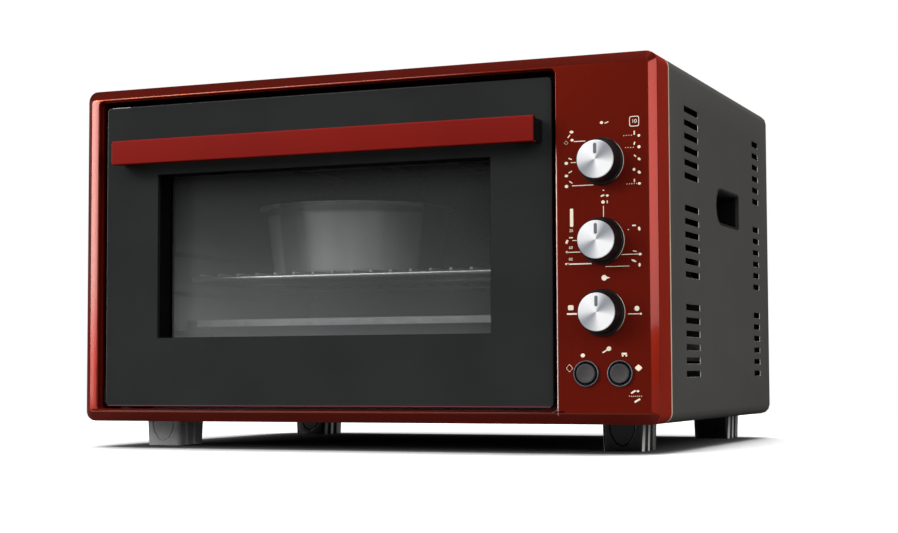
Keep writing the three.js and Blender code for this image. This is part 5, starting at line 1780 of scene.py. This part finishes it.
    @staticmethod
    def face_front(made: bpy.types.Object) -> None:
        """Turn every face of a flat print towards the front.

        Args:
            made: The print's object.
        """
        with editing(made.data) as work:
            wrong = [face for face in work.faces if face.normal.y > 0]
            bmesh.ops.reverse_faces(work, faces=wrong)

    def number(self, name: str, text: str, x: float, z: float, size: float) -> None:
        """Print one number, as a flat mesh just proud of the panel.

        Args:
            name: The piece's name.
            text: The number.
            x: Middle of the number, in millimetres.
            z: Its middle height.
            size: Its height.
        """
        curve = bpy.data.curves.new(name, "FONT")
        curve.body, curve.size = text, size * self.type_share * MM
        curve.align_x, curve.align_y = "CENTER", "CENTER"
        source = link_object(f"{name}_type", curve)
        bpy.context.view_layer.update()
        data = bpy.data.meshes.new_from_object(source)
        bpy.data.objects.remove(source)
        standing = Matrix.Rotation(math.pi / 2, 4, "X")
        data.transform(Matrix.Translation(Vector(at(x, -self.proud, z))) @ standing)
        Piece(name, "oven", FINISH["print_cream"], "seal_grey", sharp=SOFT_ANGLE).dress(data)


@dataclass
class Cavity:
    """The oven's inside: walls, elements, lamp, fan, rack, tray and tin."""

    wire: float = 2.5
    rod: float = 1.5
    rod_sides: int = 10
    rod_sunk: float = 0.8
    cross_rise: float = 0.5
    rack_z: float = 161.5
    rack_corner: float = 28.0
    bars: int = 17
    tray_corner: float = 24.0
    lip: float = 7.0
    lip_inset: float = 22.5
    sheet: float = 1.0
    tin_radii: Point = (84.0, 92.0, 100.0)
    tin_wall: float = 1.2

    def build(self) -> None:
        """Build and dress every piece inside."""
        dress_nodes(FINISH["cavity_enamel"], "cavity")
        dress_nodes(FINISH["seal_grey"], "cavity_gasket")
        dress_nodes(
            FINISH["galvanised"], "heat_shield", "lamp_holder", "fan_housing", "fan_motor", "fan_blade"
        )
        dress_nodes(FINISH["clear_glass"], "lamp_lens", "lamp_bulb")
        dress_nodes(FINISH["element_steel"], "top_element", "bottom_element")
        dress_nodes(FINISH["brass"], "thermostat_capillary")
        dress_nodes(FINISH["frame_black"], "cord_gland")
        dress_nodes(FINISH["ceramic"], "terminal_block")
        self.rack()
        self.tray()
        self.tin()

    def rack(self) -> None:
        """Bend the rack's rim, and lay its bars and the rod across under them."""
        wire = self.wire
        left, right, front, rear, _, _ = packed("wire_rack")
        left, right, front, rear = left + wire, right - wire, front + wire, rear - wire
        path = level(rounded((left, right, front, rear), self.rack_corner, steps=10), self.rack_z)
        rim = Piece("rack_rim", "rack", FINISH["rack_steel"], "steel", ("wire_rack",))
        rim.grid(tube_points(path, wire * MM, 14, closed=True), closed=True)
        height = self.rack_z + wire + self.rod - self.rod_sunk
        pitch = (right - left) / (self.bars + 1)
        places = [left + (index + 1) * pitch for index in range(self.bars)]
        rods = [(at(x, front, height), at(x, rear, height)) for x in places]
        middle, low = (front + rear) / 2, self.rack_z + self.cross_rise
        rods.append((at(left, middle, low), at(right, middle, low)))
        bars = Pile()
        for ends in rods:
            bars.add(tube_points(np.array(ends), self.rod * MM, self.rod_sides))
        bars.skin(Piece("rack_bars", "rack", FINISH["rack_shade"], "steel"))

    def tray(self) -> None:
        """Press the tray: a flat rim with a rolled edge, sloping walls and a flat floor."""
        left, right, front, rear, floor, top = packed("baking_tray")
        under = top - self.sheet
        section = filleted([
            (60.0, floor + self.sheet, 0.0), (21.0, floor + self.sheet, 2.0), (16.0, top, 1.5),
            (0.6, top, 0.3), (0.0, top - 0.6, 0.3), (0.0, under, 0.3), (15.0, under, 1.5),
            (20.0, floor, 2.0), (60.0, floor, 0.0),
        ])
        area = (left, right, front, rear)
        rings = [level(rounded(area, self.tray_corner, -inset, 8), z) for inset, z in section]
        pan = Piece("tray_pan", "tray", FINISH["tray_enamel"], "enamel", ("baking_tray",))
        pan.grid(np.stack(rings))
        # The strip along the tray's front takes a paler finish: a painted highlight.
        back, high, low = front + self.sheet, top - 0.4, top - self.lip
        corners = ((front, high, 0.2), (front, low, 0.3), (back, low, 0.3), (back, high, 0.2))
        section = filleted(corners, 3, closed=True)
        strip = drawn(section, left + self.lip_inset, right - self.lip_inset)
        Piece("tray_lip_highlight", "tray", FINISH["tray_lip_highlight"], "enamel").grid(strip)

    def tin(self) -> None:
        """Turn the round tin with its flared lip."""
        low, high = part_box("round_tin")
        centre = ((low.x + high.x) / 2, (low.y + high.y) / 2, low.z)
        height = (high.z - low.z) / MM
        base, side, lip = self.tin_radii
        wall = self.tin_wall
        profile = filleted([
            (0.0, 0.0, 0.0), (base, 0.0, 5.0), (side, height - 1.6, 2.5), (lip - 0.8, height - 1.4, 0.4),
            (lip, height - 0.6, 0.5), (lip - 0.8, height, 0.4), (side - 1.0, height, 2.5),
            (base - wall, wall, 4.0), (0.0, wall, 0.0),
        ], 5)
        plate = BandedTin(
            "tin_steel", linear(250, 251, 252), linear(234, 236, 238), 0.3, 0.3,
            grain=((60.0, 60.0, 4.0), 3.0), middle=centre, radii=(base * MM, side * MM),
            height=high.z - low.z,
        )
        pan = Piece("round_pan", "tin", plate, "tin_steel", ("round_tin",))
        pan.lathe(profile, centre, "Z", 128)


@dataclass(frozen=True)
class Softbox:
    """A rectangular lamp that faces the oven.

    It hangs at a bearing in degrees to the right of straight in front and at a height in
    degrees above level. Its size is its width and height in metres, and its power is in watts.
    """

    name: str
    bearing: float
    height: float
    size: Span
    power: float
    distance: float = 2.4
    target: Point = (0.0, FRONT, 0.17)

    def hang(self) -> None:
        """Put the lamp into the scene."""
        data = bpy.data.lights.new(self.name, "AREA")
        data.shape, data.energy = "RECTANGLE", self.power
        data.size, data.size_y = self.size
        made = link_object(self.name, data)
        bear, rise = math.radians(self.bearing), math.radians(self.height)
        across, ahead = math.sin(bear) * math.cos(rise), -math.cos(bear) * math.cos(rise)
        away = Vector((across, ahead, math.sin(rise)))
        made.location = Vector(self.target) + away * self.distance
        made.rotation_mode = "QUATERNION"
        made.rotation_quaternion = away.to_track_quat("Z", "Y")


@dataclass
class Studio:
    """The camera, the floor, the lamps and the world.

    The camera's focal length and centre are in pixels of the picture. The sun is a strength,
    and a width and a lean in degrees. The world's light rises with the height looked at, and
    the light from the front is a gain over a base.
    """

    spot: Point = (684.96, -1399.02, 70.01)
    turn: float = 22.217
    tilt: float = 3.332
    roll: float = -0.251
    focal: float = 1741.29
    centre: Span = (468.97, 270.335)
    picture: tuple[int, int] = (898, 533)
    sensor: float = 36.0
    table: float = 1.15
    boxes: tuple[Softbox, ...] = (
        Softbox("right_box", 59.0, 13.0, (0.95, 1.3), 10.4),
        Softbox("left_box", -50.0, 12.0, (0.26, 1.4), 15.5),
        Softbox("front_box", -38.0, 27.0, (1.3, 0.4), 13.0),
    )
    sun: Point = (1.75, 8.0, -4.0)
    mirror_up: Span = (0.55, 0.95)
    mirror_light: Span = (0.06, 0.16)
    plain_up: Span = (0.05, 0.28)
    plain_light: Span = (0.0, 0.9)
    front_light: Span = (1.1, 0.9)

    def build(self) -> None:
        """Set up everything that isn't the oven."""
        self.camera()
        self.floor()
        self.world()
        for box in self.boxes:
            box.hang()
        self.overhead()
        bpy.context.scene.view_settings.view_transform = "Standard"

    def camera(self) -> None:
        """Stand the camera where the picture was taken from."""
        data = bpy.data.cameras.new("studio_camera")
        made = link_object("studio_camera", data)
        width, height = self.picture
        data.sensor_width, data.sensor_fit = self.sensor, "HORIZONTAL"
        data.lens = self.focal / width * self.sensor
        data.shift_x = -(self.centre[0] - width / 2) / width
        data.shift_y = (self.centre[1] - height / 2) / width
        data.clip_start, data.clip_end = 0.01, 100.0
        yaw, pitch, roll = (math.radians(v) for v in (self.turn, self.tilt, self.roll))
        flat = Vector((-math.sin(yaw), math.cos(yaw), 0.0))
        right = Vector((math.cos(yaw), math.sin(yaw), 0.0))
        up = Vector((0.0, 0.0, 1.0))
        ahead = flat * math.cos(pitch) + up * math.sin(pitch)
        top = up * math.cos(pitch) - flat * math.sin(pitch)
        side = right * math.cos(roll) + top * math.sin(roll)
        crown = top * math.cos(roll) - right * math.sin(roll)
        pose = Matrix((side, crown, -ahead)).transposed().to_4x4()
        pose.translation = Vector(at(*self.spot))
        made.matrix_world = pose
        bpy.context.scene.camera = made

    def floor(self) -> None:
        """Lay the pale floor, a round table just larger than what the camera sees of it."""
        data = bpy.data.meshes.new("floor")
        turn = np.linspace(0.0, FULL_TURN, 64, endpoint=False)
        rim = np.stack([self.table * np.cos(turn), self.table * np.sin(turn), 0 * turn], -1)
        data.from_pydata(rim.tolist(), [], [list(range(len(rim)))])
        made = link_object("floor", data)
        finish = PaleFloor("pale_floor", (1.0, 1.0, 1.0), roughness=1.0, specular=0.0)
        data.materials.append(finish.material())

    def world(self) -> None:
        """Make the room: white to the camera, dark to mirrors, and a soft light to the rest."""
        made = bpy.data.worlds.new("studio")
        bpy.context.scene.world = made
        made.use_nodes = True
        nodes = Nodes(made.node_tree)
        path = nodes.add("ShaderNodeLightPath").socket.node.outputs
        rays = ("Is Camera Ray", "Is Glossy Ray", "Is Transmission Ray")
        camera, glossy, through = (Signal(nodes, path[name]) for name in rays)
        _, _, rearwards, height = nodes.place("Generated")
        gain, base = self.front_light
        plain = height.step(*self.plain_up).between(*self.plain_light)
        plain = plain * ((rearwards * -1.0).most(0.0) * gain + base)
        mirror = height.step(*self.mirror_up).between(*self.mirror_light)
        seen = camera.most(through)
        strength = seen + (1.0 - seen) * (glossy * mirror + (1.0 - glossy) * plain)
        values = {"Color": (1.0, 1.0, 1.0), "Strength": strength}
        nodes.close("ShaderNodeOutputWorld", nodes.add("ShaderNodeBackground", values))

    def overhead(self) -> None:
        """Hang the broad lamp overhead, leant a little."""
        energy, width, lean = self.sun
        data = bpy.data.lights.new("overhead", "SUN")
        data.energy, data.angle = energy, math.radians(width)
        made = link_object("overhead", data)
        made.rotation_euler = (math.radians(lean), 0.0, 0.0)


def main() -> None:
    """Build the studio and the oven, piece by piece."""
    logging.basicConfig(level=logging.INFO, format="%(name)s %(message)s")
    for part in (Studio(), Body(), Door(), Controls(), Cavity()):
        LOG.info("building %s", type(part).__name__)
        part.build()


if __name__ == "__main__":
    main()
